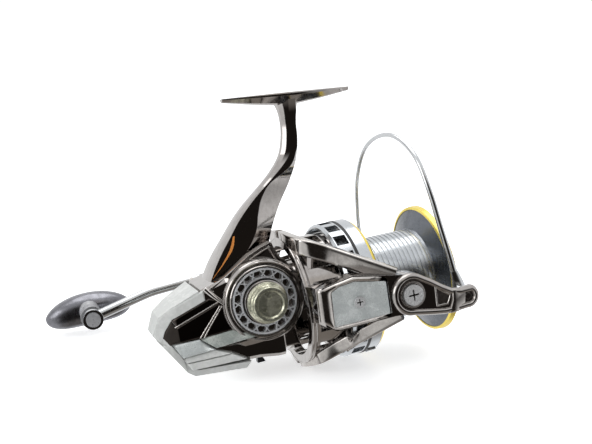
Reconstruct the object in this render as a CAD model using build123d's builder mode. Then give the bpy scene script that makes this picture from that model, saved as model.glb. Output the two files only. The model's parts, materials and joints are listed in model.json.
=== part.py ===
"""Long-cast spinning reel: every piece is its own solid, in millimetres.

Frame: the spool axis is X (line leaves towards +X), the handle side is +Y and the foot is up, +Z.
The origin lies on the spool axis, straight below (or above) the handle's crank axis.
"""
import os
from math import atan2, cos, degrees, pi, radians, sin, sqrt

from build123d import *

os.makedirs("parts", exist_ok=True)

# ---- driving dimensions -------------------------------------------------------------------
running_gap = 0.05          # radial play of a shaft in its bush
face_gap = 0.3              # play between faces that slide past each other

crank_z = 8.7               # height of the crank axis above the spool axis
crank_radius = 5.0
housing_radius = 24.4       # round gearbox housing about the crank axis
housing_wall = 1.5
body_left = 22.0            # +Y face of the body casting
body_right = 17.0           # -Y face of the body casting, where the side cover seats
cover_thickness = 7.2

foot_length = 80.0
foot_width = 19.0
foot_thickness = 3.6
foot_centre_x = 41.0
foot_height = 124.3         # spool axis to the middle of the foot's seat
foot_tilt = 3.0             # the rod line falls forward of the spool axis by this angle
stem_base_width = 22.0
stem_top_width = 9.5

shaft_radius = 2.5          # main shaft that carries the spool
pinion_teeth = 9
drive_teeth = 37
worm_gear_teeth = 18
worm_y = 9.3
worm_z = -9.3
worm_radius = 3.2

neck_radius = 28.5
neck_front = 19.5
rotor_rear = 21.0
rotor_rim_radius = 39.0
rotor_cup_radius = 37.0
rotor_cup_inner = 34.0
rotor_front = 53.0
rotor_arm_inner = 44.6      # distance of the arms' inner faces from the spool axis
rotor_arm_outer = 55.0

bail_x = 77.2               # bail pivot
bail_boss_radius = 12.3
bail_thickness = 3.4
roller_x = 112.5
roller_z = -9.0
roller_radius = 3.6
wire_radius = 1.35

skirt_rear = 46.0
skirt_radius = 42.1
skirt_front = 66.8
skirt_inner = 39.4
arbor_radius = 27.1
arbor_front = 108.7
lip_rear = 113.0
lip_front = 116.3
lip_radius = 40.2

drag_knob_radius = 18.5
drag_knob_front = 125.0

arm_reach_x = -91.6         # the handle knob's axis
arm_reach_z = 2.7
handle_y = 66.5
arm_radius = 3.4
knob_y = 102.0
knob_length = 58.0
knob_height = 22.0


# ---- shared shapes ------------------------------------------------------------------------
def bar_x(radius, x0, x1, at=(0, 0), mode=Mode.ADD):
    """Round bar along X from x0 to x1, centred at (y, z)."""
    with BuildSketch(Plane.YZ.offset(x0)) as section:
        with Locations(at):
            Circle(radius)
    extrude(section.sketch, amount=x1 - x0, mode=mode)


def bar_y(radius, y0, y1, at=(0, 0), mode=Mode.ADD):
    """Round bar along Y from y0 to y1, centred at (x, z)."""
    with BuildSketch(Plane.XZ.offset(-y1)) as section:
        with Locations(at):
            Circle(radius)
    extrude(section.sketch, amount=y1 - y0, mode=mode)


def slab_y(points, y0, y1, mode=Mode.ADD):
    """Flat plate between y0 and y1 with a straight-sided outline of (x, z) points."""
    with BuildSketch(Plane.XZ.offset(-y1)) as section:
        with BuildLine():
            Polyline(*points, close=True)
        make_face()
    extrude(section.sketch, amount=y1 - y0, mode=mode)


def slab_z(points, z0, z1, mode=Mode.ADD):
    """Flat plate between z0 and z1 with a straight-sided outline of (x, y) points."""
    with BuildSketch(Plane.XY.offset(z0)) as section:
        with BuildLine():
            Polyline(*points, close=True)
        make_face()
    extrude(section.sketch, amount=z1 - z0, mode=mode)


def box_between(low, high, mode=Mode.ADD):
    """Box from its lowest to its highest corner."""
    with Locations(tuple((a + b) / 2 for a, b in zip(low, high))):
        Box(*(b - a for a, b in zip(low, high)), mode=mode)


def turned_x(points, at=(0, 0), mode=Mode.ADD):
    """Solid turned about an axis along X through (y, z), from (x, radius) points."""
    centre = Plane(origin=(0, at[0], at[1]), x_dir=(1, 0, 0), z_dir=(0, -1, 0))
    with BuildSketch(centre) as section:
        with BuildLine():
            Polyline(*points, close=True)
        make_face()
    revolve(section.sketch, axis=Axis((0, at[0], at[1]), (1, 0, 0)), mode=mode)


def turned_y(points, at=(0, 0), mode=Mode.ADD):
    """Solid turned about an axis along Y through (x, z), from (radius, y) points."""
    centre = Plane(origin=(at[0], 0, at[1]), x_dir=(1, 0, 0), z_dir=(0, 0, 1))
    with BuildSketch(centre) as section:
        with BuildLine():
            Polyline(*points, close=True)
        make_face()
    revolve(section.sketch, axis=Axis((at[0], 0, at[1]), (0, 1, 0)), mode=mode)


def strut(start, end, width, height, up=(0, 0, 1)):
    """Straight rectangular bar from start to end, its height towards up."""
    along = Vector(*end) - Vector(*start)
    across = along.cross(Vector(*up))
    with BuildSketch(Plane(origin=start, x_dir=across, z_dir=along)) as section:
        Rectangle(width, height)
    extrude(section.sketch, amount=along.length)


def bearing(axis_plane, inner, outer, width, balls=8):
    """Ball bearing with its middle on a plane: two races with a ring of balls between them."""
    middle = (inner + outer) / 2
    ball = (outer - inner) * 0.27
    race = (outer - inner) * 0.28
    with BuildSketch(axis_plane.offset(-width / 2)) as races:
        Circle(outer)
        Circle(outer - race, mode=Mode.SUBTRACT)
    extrude(races.sketch, amount=width)
    with BuildSketch(axis_plane.offset(-width / 2)) as inner_race:
        Circle(inner + race)
        Circle(inner, mode=Mode.SUBTRACT)
    extrude(inner_race.sketch, amount=width)
    with Locations(axis_plane):
        with PolarLocations(middle, balls):
            Sphere(ball * 0.8)


def save(piece, label):
    """Name one finished piece and write it as STEP."""
    piece.part.label = label
    export_step(piece.part, f"parts/{label}.step")


# ---- outlines shared by the body, its cover and its guard ----------------------------------
tail_outer = [(-36, 22.0), (-52.7, 14.9), (-60.0, 10.4), (-64.7, 0.3), (-50.0, -23.5), (-46, -26.4),
              (-17, -27.2), (-13.5, -23.6), (-13.5, -10), (-36, 5)]
tail_inner = [(-36, 18.4), (-52.0, 11.6), (-57.2, 8.0), (-60.8, 0.6), (-47.6, -20.6), (-44, -23.2),
              (-8, -23.9), (4, -26), (8, -26), (8, 20), (-20, 26), (-34, 22)]
tail_plan = [(-70, 7.0), (-64, 9.5), (-50, 15.5), (-28, 20.5), (-10, 24.2), (30, 24.2)]
stem_foot_z = 30.0          # below this the stem is part of the gearbox
stem_rise = (foot_height - stem_foot_z) / 94.3


def stem_line(points):
    """Outline of (x, z) points whose part above the gearbox reaches up with the foot's height."""
    return [(x, z if z < stem_foot_z else stem_foot_z + (z - stem_foot_z) * stem_rise) for x, z in points]


stem_rear = stem_line([(-31.3, 16.5), (-21.5, 33.6), (-10.3, 48.1), (0.5, 60.3), (12.2, 70.1), (22.6, 79.0),
                       (29.6, 87.3), (33.4, 97.5), (34.6, 107.0), (33.6, 117.0), (31.0, 122.4)])
stem_front = stem_line([(49.4, 121.4), (46.6, 116.0), (44.6, 107.0), (43.6, 96.0), (40.9, 85.0), (34.0, 72.0),
                        (24.6, 58.4), (17.2, 44.5), (12.0, 30.0), (9.0, 12.0)])


def plan_mask(points, low=-60, high=60):
    """Keep only what lies inside a plan outline that is the same on both sides."""
    both_sides = [(x, y) for x, y in points] + [(x, -y) for x, y in reversed(points)]
    slab_z(both_sides, low, high, mode=Mode.INTERSECT)


# =========================================================================================
# Body casting: gearbox, tail, neck, stem and foot in one piece
# =========================================================================================
chamber_left = 16.5
chamber_low = -15.0
chamber_right = -11.0
chamber_rear = -45.0
chamber_front = 8.5
gear_chamber_radius = housing_radius - housing_wall
boss_radius = 15.5
boss_front = 45.0

with BuildPart() as tail_block:
    slab_y(tail_inner, -body_right, body_left)
    plan_mask(tail_plan)

with BuildPart() as stem_block:
    with BuildSketch(Plane.XZ) as stem_side:
        with BuildLine():
            Spline(*stem_rear)
            Line(stem_rear[-1], stem_front[0])
            Spline(*stem_front)
            Line(stem_front[-1], stem_rear[0])
        make_face()
    extrude(stem_side.sketch, amount=stem_base_width, both=True)
    with BuildSketch(Plane.YZ.offset(-60)) as stem_view:
        with BuildLine():
            half_base = stem_base_width / 2
            half_top = stem_top_width / 2
            half_view = stem_line([(half_base + 2, 5), (half_base, 34), (half_top + 1.6, 72), (half_top, 98),
                                   (half_top + 0.6, 112), (half_top + 4.5, 123.0)])
            Polyline(*half_view, *[(-y, z) for y, z in reversed(half_view)], close=True)
        make_face()
    extrude(stem_view.sketch, amount=140, mode=Mode.INTERSECT)

foot_seat = Plane(origin=(foot_centre_x, 0, foot_height), x_dir=(cos(radians(foot_tilt)), 0, -sin(radians(foot_tilt))),
                  z_dir=(sin(radians(foot_tilt)), 0, cos(radians(foot_tilt))))
with BuildPart() as foot_plate:
    with BuildSketch(foot_seat) as seat_outline:
        with BuildLine():
            half = foot_length / 2
            Spline((-half, 2.6), (-half * 0.55, foot_width * 0.36), (-half * 0.12, foot_width / 2),
                   (half * 0.12, foot_width / 2), (half * 0.55, foot_width * 0.36), (half, 2.6))
            Line((half, 2.6), (half, -2.6))
            Spline((half, -2.6), (half * 0.55, -foot_width * 0.36), (half * 0.12, -foot_width / 2),
                   (-half * 0.12, -foot_width / 2), (-half * 0.55, -foot_width * 0.36), (-half, -2.6))
            Line((-half, -2.6), (-half, 2.6))
        make_face()
    extrude(seat_outline.sketch, amount=-foot_thickness)
    with BuildSketch(Plane(origin=foot_seat.origin, x_dir=foot_seat.x_dir, z_dir=(0, -1, 0))) as foot_side:
        with BuildLine():
            Polyline((-half, 0), (half, 0), (half, -1.7), (11, -foot_thickness),
                     (-11, -foot_thickness), (-half, -1.7), close=True)
        make_face()
    extrude(foot_side.sketch, amount=foot_width, both=True, mode=Mode.INTERSECT)

with BuildPart() as neck_block:
    bar_x(neck_radius, 2, neck_front)
    box_between((0, -body_right, -40), (30, body_left, 40), mode=Mode.INTERSECT)
    bar_x(24.6, 2, 26.5)
    box_between((0, -body_right, -40), (30, 24.6, 40), mode=Mode.INTERSECT)
    bar_x(boss_radius, 20, boss_front)

with BuildPart() as housing_block:
    bar_y(housing_radius, -body_right, body_left, (0, crank_z))

crank_boss_left = body_left + 5.0
worm_gear_x0 = 21.6
worm_gear_x1 = 24.4
pinion_bush_x0 = 8.6
pinion_bush_x1 = 12.4
front_bearing_x0 = 28.0
front_bearing_x1 = 33.0
front_bearing_radius = 11.0
clutch_x0 = 35.6
clutch_x1 = 43.0
clutch_radius = 12.6
crank_bearing_outer = 8.6
crank_bearing_width = 4.0
crank_bearing_left_y = 19.0
crank_bearing_right_y = -20.4
guide_y = 13.6
guide_z = -1.2
guide_radius = 1.2
lever_x = -3.0
lever_z = -22.6
lever_pin_radius = 1.1
worm_rear = -42.0
worm_front = 20.0
worm_bush_radius = 3.4
screw_places = [(-31.0, 12.0), (-30.0, -18.4), (-22.5, 22.0), (4.5, -20.5)]
screw_reach = 1.8           # depth of the screws' ends in the side cover
screw_radius = 1.5
screw_head_radius = 2.8

with BuildPart() as main_body:
    add(tail_block.part)
    add(stem_block.part)
    add(foot_plate.part)
    add(neck_block.part)
    add(housing_block.part)
    bar_y(crank_bearing_outer + 3.0, body_left - 2, crank_boss_left, (0, crank_z))
    # gear chamber, open towards the side cover
    bar_y(gear_chamber_radius, -body_right - 10, -2.6, (0, crank_z), mode=Mode.SUBTRACT)
    # chamber of the worm, the slider and its guide rod
    box_between((chamber_rear, chamber_right, chamber_low), (chamber_front, chamber_left, 4.0),
                mode=Mode.SUBTRACT)
    bar_y(crank_bearing_outer + 1.0, -body_right, crank_bearing_left_y - 4.0, (0, crank_z), mode=Mode.SUBTRACT)
    # pinion and worm-gear chamber
    bar_x(8.0, pinion_bush_x1, front_bearing_x0 - 0.5, mode=Mode.SUBTRACT)
    bar_x(10.6, worm_gear_x0 - 1.0, 26.0, (worm_y, worm_z), mode=Mode.SUBTRACT)
    # seats of the bearings, bushes, rod and pins
    bar_y(crank_bearing_outer, crank_bearing_left_y - 5.0, crank_bearing_left_y + crank_bearing_width,
          (0, crank_z), mode=Mode.SUBTRACT)
    bar_y(crank_radius + 0.6, -20, crank_boss_left + 1, (0, crank_z), mode=Mode.SUBTRACT)
    bar_x(4.9, chamber_front - 1, pinion_bush_x1 + 1, mode=Mode.SUBTRACT)
    bar_x(front_bearing_radius, front_bearing_x0, boss_front + 1, mode=Mode.SUBTRACT)
    bar_x(clutch_radius, front_bearing_x1, boss_front + 1, mode=Mode.SUBTRACT)
    bar_x(8.0, front_bearing_x0 - 3, front_bearing_x1 + 1, mode=Mode.SUBTRACT)
    bar_x(worm_bush_radius, worm_rear - 4, worm_rear + 2, (worm_y, worm_z), mode=Mode.SUBTRACT)
    bar_x(worm_bush_radius, chamber_front - 1, chamber_front + 3.5, (worm_y, worm_z), mode=Mode.SUBTRACT)
    bar_x(worm_radius + 0.3, chamber_front - 1, worm_gear_x1, (worm_y, worm_z), mode=Mode.SUBTRACT)
    bar_x(guide_radius, chamber_rear - 4, chamber_front + 3, (guide_y, guide_z), mode=Mode.SUBTRACT)
    # slot and cross hole of the anti-reverse lever
    box_between((lever_x - 4.5, -2.4, -30), (lever_x + 4.5, 2.4, chamber_low + 1), mode=Mode.SUBTRACT)
    bar_y(lever_pin_radius + running_gap, -6, 6, (lever_x, lever_z), mode=Mode.SUBTRACT)
    for place in screw_places:
        bar_y(screw_radius, -body_right - 1, body_left + 3, place, mode=Mode.SUBTRACT)
        bar_y(screw_head_radius, body_left - 6.0, body_left + 3, place, mode=Mode.SUBTRACT)
save(main_body, "main_body")

# ---- side cover on the -Y side -------------------------------------------------------------
cover_outer = body_right + cover_thickness
ring_inner = 13.4
ring_outer = 19.2
ring_depth = 1.8
cap_boss_outer = 12.8
cap_boss_face = -28.6
with BuildPart() as side_cover:
    slab_y([(-57, 6.0), (-52, 10.5), (-35, 18.0), (-30, 24), (-16, 31), (0, 32), (8, 29), (8, -24), (-47, -20.0)],
           -cover_outer + 1.6, -body_right)
    plan_mask([(-70, 5.0), (-60, 9.0), (-48, 14.2), (-28, 20.4), (-14, cover_outer), (30, cover_outer)])
    bar_y(housing_radius, -cover_outer, -body_right, (0, crank_z))
    bar_y(cap_boss_outer, cap_boss_face, -body_right, (0, crank_z))
    # annular recess for the filigree ring
    with BuildSketch(Plane.XZ.offset(cover_outer - ring_depth)) as recess:
        with Locations((0, crank_z)):
            Circle(ring_outer + 0.1)
            Circle(ring_inner - 0.1, mode=Mode.SUBTRACT)
    extrude(recess.sketch, amount=ring_depth + 1, mode=Mode.SUBTRACT)
    # inside: room for the gear, the bearing seat and the crank hole
    bar_y(gear_chamber_radius, -body_right - 3.4, -body_right + 1, (0, crank_z), mode=Mode.SUBTRACT)
    bar_y(crank_bearing_outer, crank_bearing_right_y - crank_bearing_width, -body_right, (0, crank_z),
          mode=Mode.SUBTRACT)
    bar_y(crank_radius + 0.6, cap_boss_face - 1, -body_right, (0, crank_z), mode=Mode.SUBTRACT)
    for place in screw_places:
        bar_y(screw_radius, -body_right - screw_reach, -body_right + 1, place, mode=Mode.SUBTRACT)
save(side_cover, "side_cover")

# ---- open-work ring set into the cover -----------------------------------------------------
zigzags = 16
with BuildPart() as filigree_ring:
    with BuildSketch(Plane.XZ.offset(cover_outer - ring_depth)) as lattice:
        with Locations((0, crank_z)):
            Circle(ring_outer)
            Circle(ring_outer - 1.1, mode=Mode.SUBTRACT)
            Circle(ring_inner + 1.0)
            Circle(ring_inner, mode=Mode.SUBTRACT)
        for step in range(2 * zigzags):
            turn = pi / zigzags
            inner_angle = step * turn
            outer_angle = inner_angle + (turn if step % 2 else -turn)
            near = (ring_inner + 0.5) * cos(inner_angle), crank_z + (ring_inner + 0.5) * sin(inner_angle)
            far = (ring_outer - 0.5) * cos(outer_angle), crank_z + (ring_outer - 0.5) * sin(outer_angle)
            with BuildLine() as rib:
                Line(near, far)
            trace(rib.line, line_width=0.55)
        with Locations((0, crank_z)):
            Circle(ring_inner, mode=Mode.SUBTRACT)
    extrude(lattice.sketch, amount=ring_depth + 0.9)
save(filigree_ring, "filigree_ring")

# ---- guard that wraps the tail ------------------------------------------------------------
with BuildPart() as tail_guard:
    slab_y(tail_outer, -26, 26)
    plan_mask([(-70, 8.2), (-64, 10.4), (-50, 16.3), (-28, 21.2), (-13, 24.6)])
    slab_y([(-30, 21.0), (-52.0, 11.6), (-57.2, 8.0), (-60.8, 0.6), (-47.6, -20.6), (-44, -23.2),
            (-8, -23.95), (-8, 21)], -30, 30, mode=Mode.SUBTRACT)
save(tail_guard, "tail_guard")

# ---- front flange ring of the neck ----------------------------------------------------------
with BuildPart() as neck_ring:
    bar_x(30.2, 15.0, neck_front)
    box_between((0, -body_right + 0.4, -40), (30, body_left, -2), mode=Mode.INTERSECT)
    bar_x(neck_radius, 10, 30, mode=Mode.SUBTRACT)
save(neck_ring, "neck_ring")

# ---- cover screws ----------------------------------------------------------------------------
with BuildPart() as cover_screws:
    for place in screw_places:
        bar_y(screw_radius, -body_right - screw_reach + 0.2, body_left - 5.9, place)
        bar_y(screw_head_radius, body_left - 6.0, body_left - 3.8, place)
        with Locations((place[0], body_left - 4.1, place[1])):
            Box(3.6, 1.0, 0.8, mode=Mode.SUBTRACT)
            Box(0.8, 1.0, 3.6, mode=Mode.SUBTRACT)
save(cover_screws, "cover_screws")

# ---- bearings held by the body --------------------------------------------------------------
with BuildPart() as crank_bearings:
    for middle in (crank_bearing_left_y + crank_bearing_width / 2, crank_bearing_right_y - crank_bearing_width / 2):
        bearing(Plane(origin=(0, middle, crank_z), x_dir=(1, 0, 0), z_dir=(0, 1, 0)),
                crank_radius + running_gap, crank_bearing_outer, crank_bearing_width)
save(crank_bearings, "crank_bearings")

pinion_journal = 3.5
pinion_sleeve = 5.2
with BuildPart() as pinion_bearings:
    bar_x(4.9, pinion_bush_x0, pinion_bush_x1)
    bar_x(pinion_journal + running_gap, pinion_bush_x0 - 1, pinion_bush_x1 + 1, mode=Mode.SUBTRACT)
    bearing(Plane(origin=((front_bearing_x0 + front_bearing_x1) / 2, 0, 0), x_dir=(0, 1, 0), z_dir=(1, 0, 0)),
            pinion_sleeve + running_gap, front_bearing_radius, front_bearing_x1 - front_bearing_x0, 9)
save(pinion_bearings, "pinion_bearings")

with BuildPart() as bearing_retainer:
    bar_x(clutch_radius, front_bearing_x1, clutch_x0 - 0.8)
    bar_x(8.4, front_bearing_x1 - 1, clutch_x0, mode=Mode.SUBTRACT)
save(bearing_retainer, "bearing_retainer")

# ---- roller clutch that stops the rotor turning back -----------------------------------------
clutch_inner = 7.2
roller_clutch_radius = 1.35
roller_ring = clutch_inner + roller_clutch_radius + 0.12
with BuildPart() as clutch_ring:
    bar_x(clutch_radius, clutch_x0 - 0.8, clutch_x1)
    bar_x(clutch_inner + 0.4, clutch_x0 - 1, clutch_x1 + 1, mode=Mode.SUBTRACT)
    with BuildSketch(Plane.YZ.offset(clutch_x0)) as pockets:
        with PolarLocations(roller_ring, 8):
            Rectangle(3.4, 3.6)
    extrude(pockets.sketch, amount=6.2, mode=Mode.SUBTRACT)
save(clutch_ring, "clutch_ring")

with BuildPart() as clutch_rollers:
    with BuildSketch(Plane.YZ.offset(clutch_x0 + 0.2)) as rollers:
        with PolarLocations(roller_ring, 8):
            Circle(roller_clutch_radius)
    extrude(rollers.sketch, amount=5.6)
save(clutch_rollers, "clutch_rollers")

# ---- bushes of the worm shaft and the slider's guide rod ---------------------------------------
worm_journal = 2.0
with BuildPart() as worm_bushes:
    bar_x(worm_bush_radius, worm_rear - 3.5, chamber_rear + 0.4, (worm_y, worm_z))
    bar_x(worm_bush_radius, chamber_front - 0.4, chamber_front + 3.4, (worm_y, worm_z))
    bar_x(worm_journal + running_gap, worm_rear - 6, worm_front, (worm_y, worm_z), mode=Mode.SUBTRACT)
save(worm_bushes, "worm_bushes")

with BuildPart() as guide_rod:
    bar_x(guide_radius, chamber_rear - 3.0, chamber_front + 2.5, (guide_y, guide_z))
save(guide_rod, "guide_rod")

# ---- anti-reverse lever under the body ---------------------------------------------------------
with BuildPart() as anti_reverse_lever:
    bar_y(lever_pin_radius, -5.6, 5.6, (lever_x, lever_z))
    bar_y(2.6, -1.9, 1.9, (lever_x, lever_z))
    slab_y([(lever_x - 1.6, lever_z), (lever_x + 1.6, lever_z), (lever_x + 1.4, -29.5), (lever_x + 3.0, -33.0),
            (lever_x - 2.0, -33.0), (lever_x - 1.8, -29.5)], -1.9, 1.9)
save(anti_reverse_lever, "anti_reverse_lever")

# =========================================================================================
# Crank: drive gear, shaft, handle arm and the cap that locks the handle
# =========================================================================================
gear_tip_y = -3.7
gear_floor_y = -5.5
gear_back_y = -8.6
gear_face_inner = 17.2
gear_face_outer = 20.4
gear_radius = sqrt(gear_face_outer ** 2 + crank_z ** 2)
tooth_width = 0.8
with BuildPart() as drive_gear:
    bar_y(gear_radius, gear_back_y, gear_floor_y, (0, crank_z))
    bar_y(9.0, -15.8, gear_back_y, (0, crank_z))
    bar_y(crank_radius, -17, 0, (0, crank_z), mode=Mode.SUBTRACT)
    with BuildSketch(Plane.XZ.offset(-gear_tip_y)) as teeth:
        with Locations((0, crank_z)):
            with PolarLocations(0, drive_teeth):
                with Locations(((gear_face_inner + gear_face_outer) / 2, -crank_z)):
                    Rectangle(gear_face_outer - gear_face_inner, tooth_width)
    extrude(teeth.sketch, amount=gear_tip_y - gear_floor_y + 0.2)
    with BuildSketch(Plane.XZ.offset(-gear_floor_y)) as lightening:
        with Locations((0, crank_z)):
            with PolarLocations(13.0, 6):
                Circle(2.6)
    extrude(lightening.sketch, amount=gear_floor_y - gear_back_y, mode=Mode.SUBTRACT)
save(drive_gear, "drive_gear")

cap_front = -36.7
shaft_left = 44.0
with BuildPart() as drive_shaft:
    bar_y(crank_radius, -33.0, shaft_left, (0, crank_z))
    bar_y(6.6, -17.0, -15.8, (0, crank_z))
    with BuildSketch(Plane.XZ.offset(-shaft_left)) as hexagon:
        with Locations((0, crank_z)):
            RegularPolygon(3.2, 6)
    extrude(hexagon.sketch, amount=shaft_left + 34.0, mode=Mode.SUBTRACT)
save(drive_shaft, "drive_shaft")

with BuildPart() as gear_shim:
    bar_y(7.4, -crank_bearing_outer - 11.6, -17.0, (0, crank_z))
    bar_y(crank_radius, -30, 0, (0, crank_z), mode=Mode.SUBTRACT)
save(gear_shim, "gear_shim")

hub_start = crank_boss_left + face_gap
with BuildPart() as handle_hub:
    turned_y([(0, hub_start), (10.4, hub_start), (10.4, hub_start + 3.0), (8.0, hub_start + 5.0), (7.2, handle_y - 8),
              (8.4, handle_y - 5), (8.4, handle_y + 3.4), (7.0, handle_y + 4.8), (0, handle_y + 4.8)], (0, crank_z))
    bar_y(crank_radius, hub_start - 1, shaft_left, (0, crank_z), mode=Mode.SUBTRACT)
    with BuildSketch(Plane.XZ.offset(-shaft_left)) as hex_stub:
        with Locations((0, crank_z)):
            RegularPolygon(3.1, 6)
    extrude(hex_stub.sketch, amount=shaft_left + 24.0)
save(handle_hub, "handle_hub")

arm_path = [(-6, handle_y, crank_z + 1.6), (-20, handle_y + 0.6, 13.0), (-52, handle_y, 11.6), (arm_reach_x + 4, handle_y - 1.2, arm_reach_z + 1.4)]
with BuildPart() as handle_arm:
    with BuildLine() as arm_line:
        FilletPolyline(*arm_path, radius=[24, 60])
    with BuildSketch(Plane(origin=arm_line.line @ 0, z_dir=arm_line.line % 0)):
        Circle(arm_radius)
    sweep()
    bar_y(6.5, handle_y - 5.0, handle_y + 2.6, (arm_reach_x, arm_reach_z))
    bar_y(8.45, handle_y - 5.0, handle_y + 6, (0, crank_z), mode=Mode.SUBTRACT)
    bar_y(3.0, handle_y - 7, handle_y + 4, (arm_reach_x, arm_reach_z), mode=Mode.SUBTRACT)
save(handle_arm, "handle_arm")

spindle_radius = 3.0
with BuildPart() as knob_spindle:
    bar_y(spindle_radius, handle_y - 6.5, knob_y + 2.0, (arm_reach_x, arm_reach_z))
    bar_y(4.6, handle_y - 6.6, handle_y - 5.0, (arm_reach_x, arm_reach_z))
save(knob_spindle, "knob_spindle")

with BuildPart() as screw_cap:
    turned_y([(0, cap_boss_face - face_gap), (12.0, cap_boss_face - face_gap), (12.0, -30.6), (11.0, -31.4), (11.0, -33.4),
              (10.2, -34.2), (10.2, cap_front + 0.6), (9.6, cap_front), (8.0, cap_front), (7.2, cap_front + 1.0),
              (0, cap_front + 1.0)], (0, crank_z))
    bar_y(crank_radius + 0.1, -33.1, -28, (0, crank_z), mode=Mode.SUBTRACT)
    bar_y(2.6, -33.3, -24.4, (0, crank_z))
    with BuildSketch(Plane.XZ.offset(-cap_front - 1.0)) as dimples:
        with Locations((0, crank_z)):
            with PolarLocations(4.6, 3, start_angle=90):
                Circle(1.5)
    extrude(dimples.sketch, amount=-0.8, mode=Mode.SUBTRACT)
save(screw_cap, "screw_cap")

# ---- knob that turns on its spindle ------------------------------------------------------------
knob_bore = 4.4
with BuildPart() as knob_neck:
    turned_y([(0, handle_y + 2.9), (7.4, handle_y + 2.9), (7.4, handle_y + 5), (5.8, handle_y + 10), (5.6, handle_y + 22),
              (7.2, knob_y - 9.5), (0, knob_y - 9.5)], (arm_reach_x, arm_reach_z))
    bar_y(knob_bore, handle_y, knob_y, (arm_reach_x, arm_reach_z), mode=Mode.SUBTRACT)
save(knob_neck, "knob_neck")

with BuildPart() as knob_grip:
    with BuildSketch(Plane(origin=(arm_reach_x, knob_y, arm_reach_z), x_dir=(1, 0, 0), z_dir=(0, 0, 1))) as grip_half:
        SlotOverall(knob_length, knob_height)
        with Locations((0, -knob_height / 2)):
            Rectangle(knob_length + 2, knob_height, mode=Mode.SUBTRACT)
    revolve(grip_half.sketch, axis=Axis((arm_reach_x, knob_y, arm_reach_z), (1, 0, 0)))
    bar_y(7.25, knob_y - 14, knob_y - 9.5, (arm_reach_x, arm_reach_z), mode=Mode.SUBTRACT)
    bar_y(knob_bore, knob_y - 20, knob_y + 4.4, (arm_reach_x, arm_reach_z), mode=Mode.SUBTRACT)
    bar_y(6.0, knob_y + 7.6, knob_y + 20, (arm_reach_x, arm_reach_z), mode=Mode.SUBTRACT)
save(knob_grip, "knob_grip")

with BuildPart() as knob_bushes:
    for start in (handle_y + 3.2, knob_y - 6.0):
        bar_y(knob_bore, start, start + 6.0, (arm_reach_x, arm_reach_z))
    bar_y(spindle_radius + running_gap, handle_y, knob_y + 4, (arm_reach_x, arm_reach_z), mode=Mode.SUBTRACT)
save(knob_bushes, "knob_bushes")

with BuildPart() as knob_cap:
    bar_y(6.0, knob_y + 7.6, knob_y + 9.6, (arm_reach_x, arm_reach_z))
    with BuildSketch(Plane.XZ.offset(-(knob_y + 8.8))) as coin_slot:
        with Locations((arm_reach_x, arm_reach_z)):
            Rectangle(8, 1.2)
    extrude(coin_slot.sketch, amount=-2, mode=Mode.SUBTRACT)
save(knob_cap, "knob_cap")

# =========================================================================================
# Oscillation: worm shaft driven by the pinion, slider on the main shaft
# =========================================================================================
with BuildPart() as worm_shaft:
    bar_x(worm_radius, chamber_rear + 0.8, chamber_front - 0.8, (worm_y, worm_z))
    bar_x(worm_journal, worm_rear - 3.3, worm_gear_x1, (worm_y, worm_z))
    for place in range(11):
        for lean in (-24, 24):
            groove_x = -40.5 + 4.4 * place
            with Locations(Location((groove_x, worm_y, worm_z), (0, 90 + lean, 0))):
                Torus(worm_radius + 0.5, 1.0, mode=Mode.SUBTRACT)
save(worm_shaft, "worm_shaft")


def spur_outline(teeth_count, root, tip, root_width, tip_width, turn=0.0):
    """Spur gear outline: a root circle with a straight-sided tooth at each step."""
    Circle(root)
    for step in range(teeth_count):
        angle = 360 * step / teeth_count + turn
        with Locations(Rotation(0, 0, angle)):
            with BuildLine(mode=Mode.PRIVATE) as flank:
                Polyline((root - 0.4, -root_width / 2), (tip, -tip_width / 2), (tip, tip_width / 2),
                         (root - 0.4, root_width / 2), close=True)
            add(make_face(flank.line, mode=Mode.PRIVATE))


pinion_pitch = 4.38
worm_gear_pitch = pinion_pitch * worm_gear_teeth / pinion_teeth
mesh_angle = degrees(atan2(worm_z, worm_y))
pinion_turn = 180 + 180 / pinion_teeth      # a gap of the pinion faces the drive gear at rest
pinion_lead = (pinion_turn - mesh_angle) % (360 / pinion_teeth)
worm_gear_turn = mesh_angle + 180 - pinion_lead * pinion_teeth / worm_gear_teeth + 180 / worm_gear_teeth
with BuildPart() as worm_gear:
    with BuildSketch(Plane(origin=(worm_gear_x0, worm_y, worm_z), x_dir=(0, 1, 0), z_dir=(1, 0, 0))) as worm_gear_face:
        spur_outline(worm_gear_teeth, worm_gear_pitch - 1.15, worm_gear_pitch + 0.6, 1.5, 0.7, worm_gear_turn)
    extrude(worm_gear_face.sketch, amount=worm_gear_x1 - worm_gear_x0)
    bar_x(worm_journal, worm_gear_x0 - 1, worm_gear_x1 + 1, (worm_y, worm_z), mode=Mode.SUBTRACT)
save(worm_gear, "worm_gear")

slider_rear = -40.0
slider_front = -29.0
slider_middle = (slider_rear + slider_front) / 2
shaft_front = 121.0
pin_rear = 58.5             # flat cross pin that the spool rests on
pin_half = 0.9
with BuildPart() as main_shaft:
    bar_x(shaft_radius, slider_rear, shaft_front)
    box_between((pin_rear, -4, -pin_half), (pin_rear + 2 * pin_half, 4, pin_half), mode=Mode.SUBTRACT)
save(main_shaft, "main_shaft")

with BuildPart() as slider:
    box_between((slider_rear, -3.4, -5.2), (slider_front, 16.0, 3.2))
    bar_x(shaft_radius, slider_rear - 1, slider_front + 1, mode=Mode.SUBTRACT)
    bar_x(guide_radius + 0.08, slider_rear - 1, slider_front + 1, (guide_y, guide_z), mode=Mode.SUBTRACT)
    with Locations((slider_middle, worm_y, 0)):
        Cylinder(1.8, 20, mode=Mode.SUBTRACT)
    fillet(slider.edges().filter_by(Axis.X).sort_by(Axis.Y)[0:2], 2.0)
save(slider, "slider")

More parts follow.
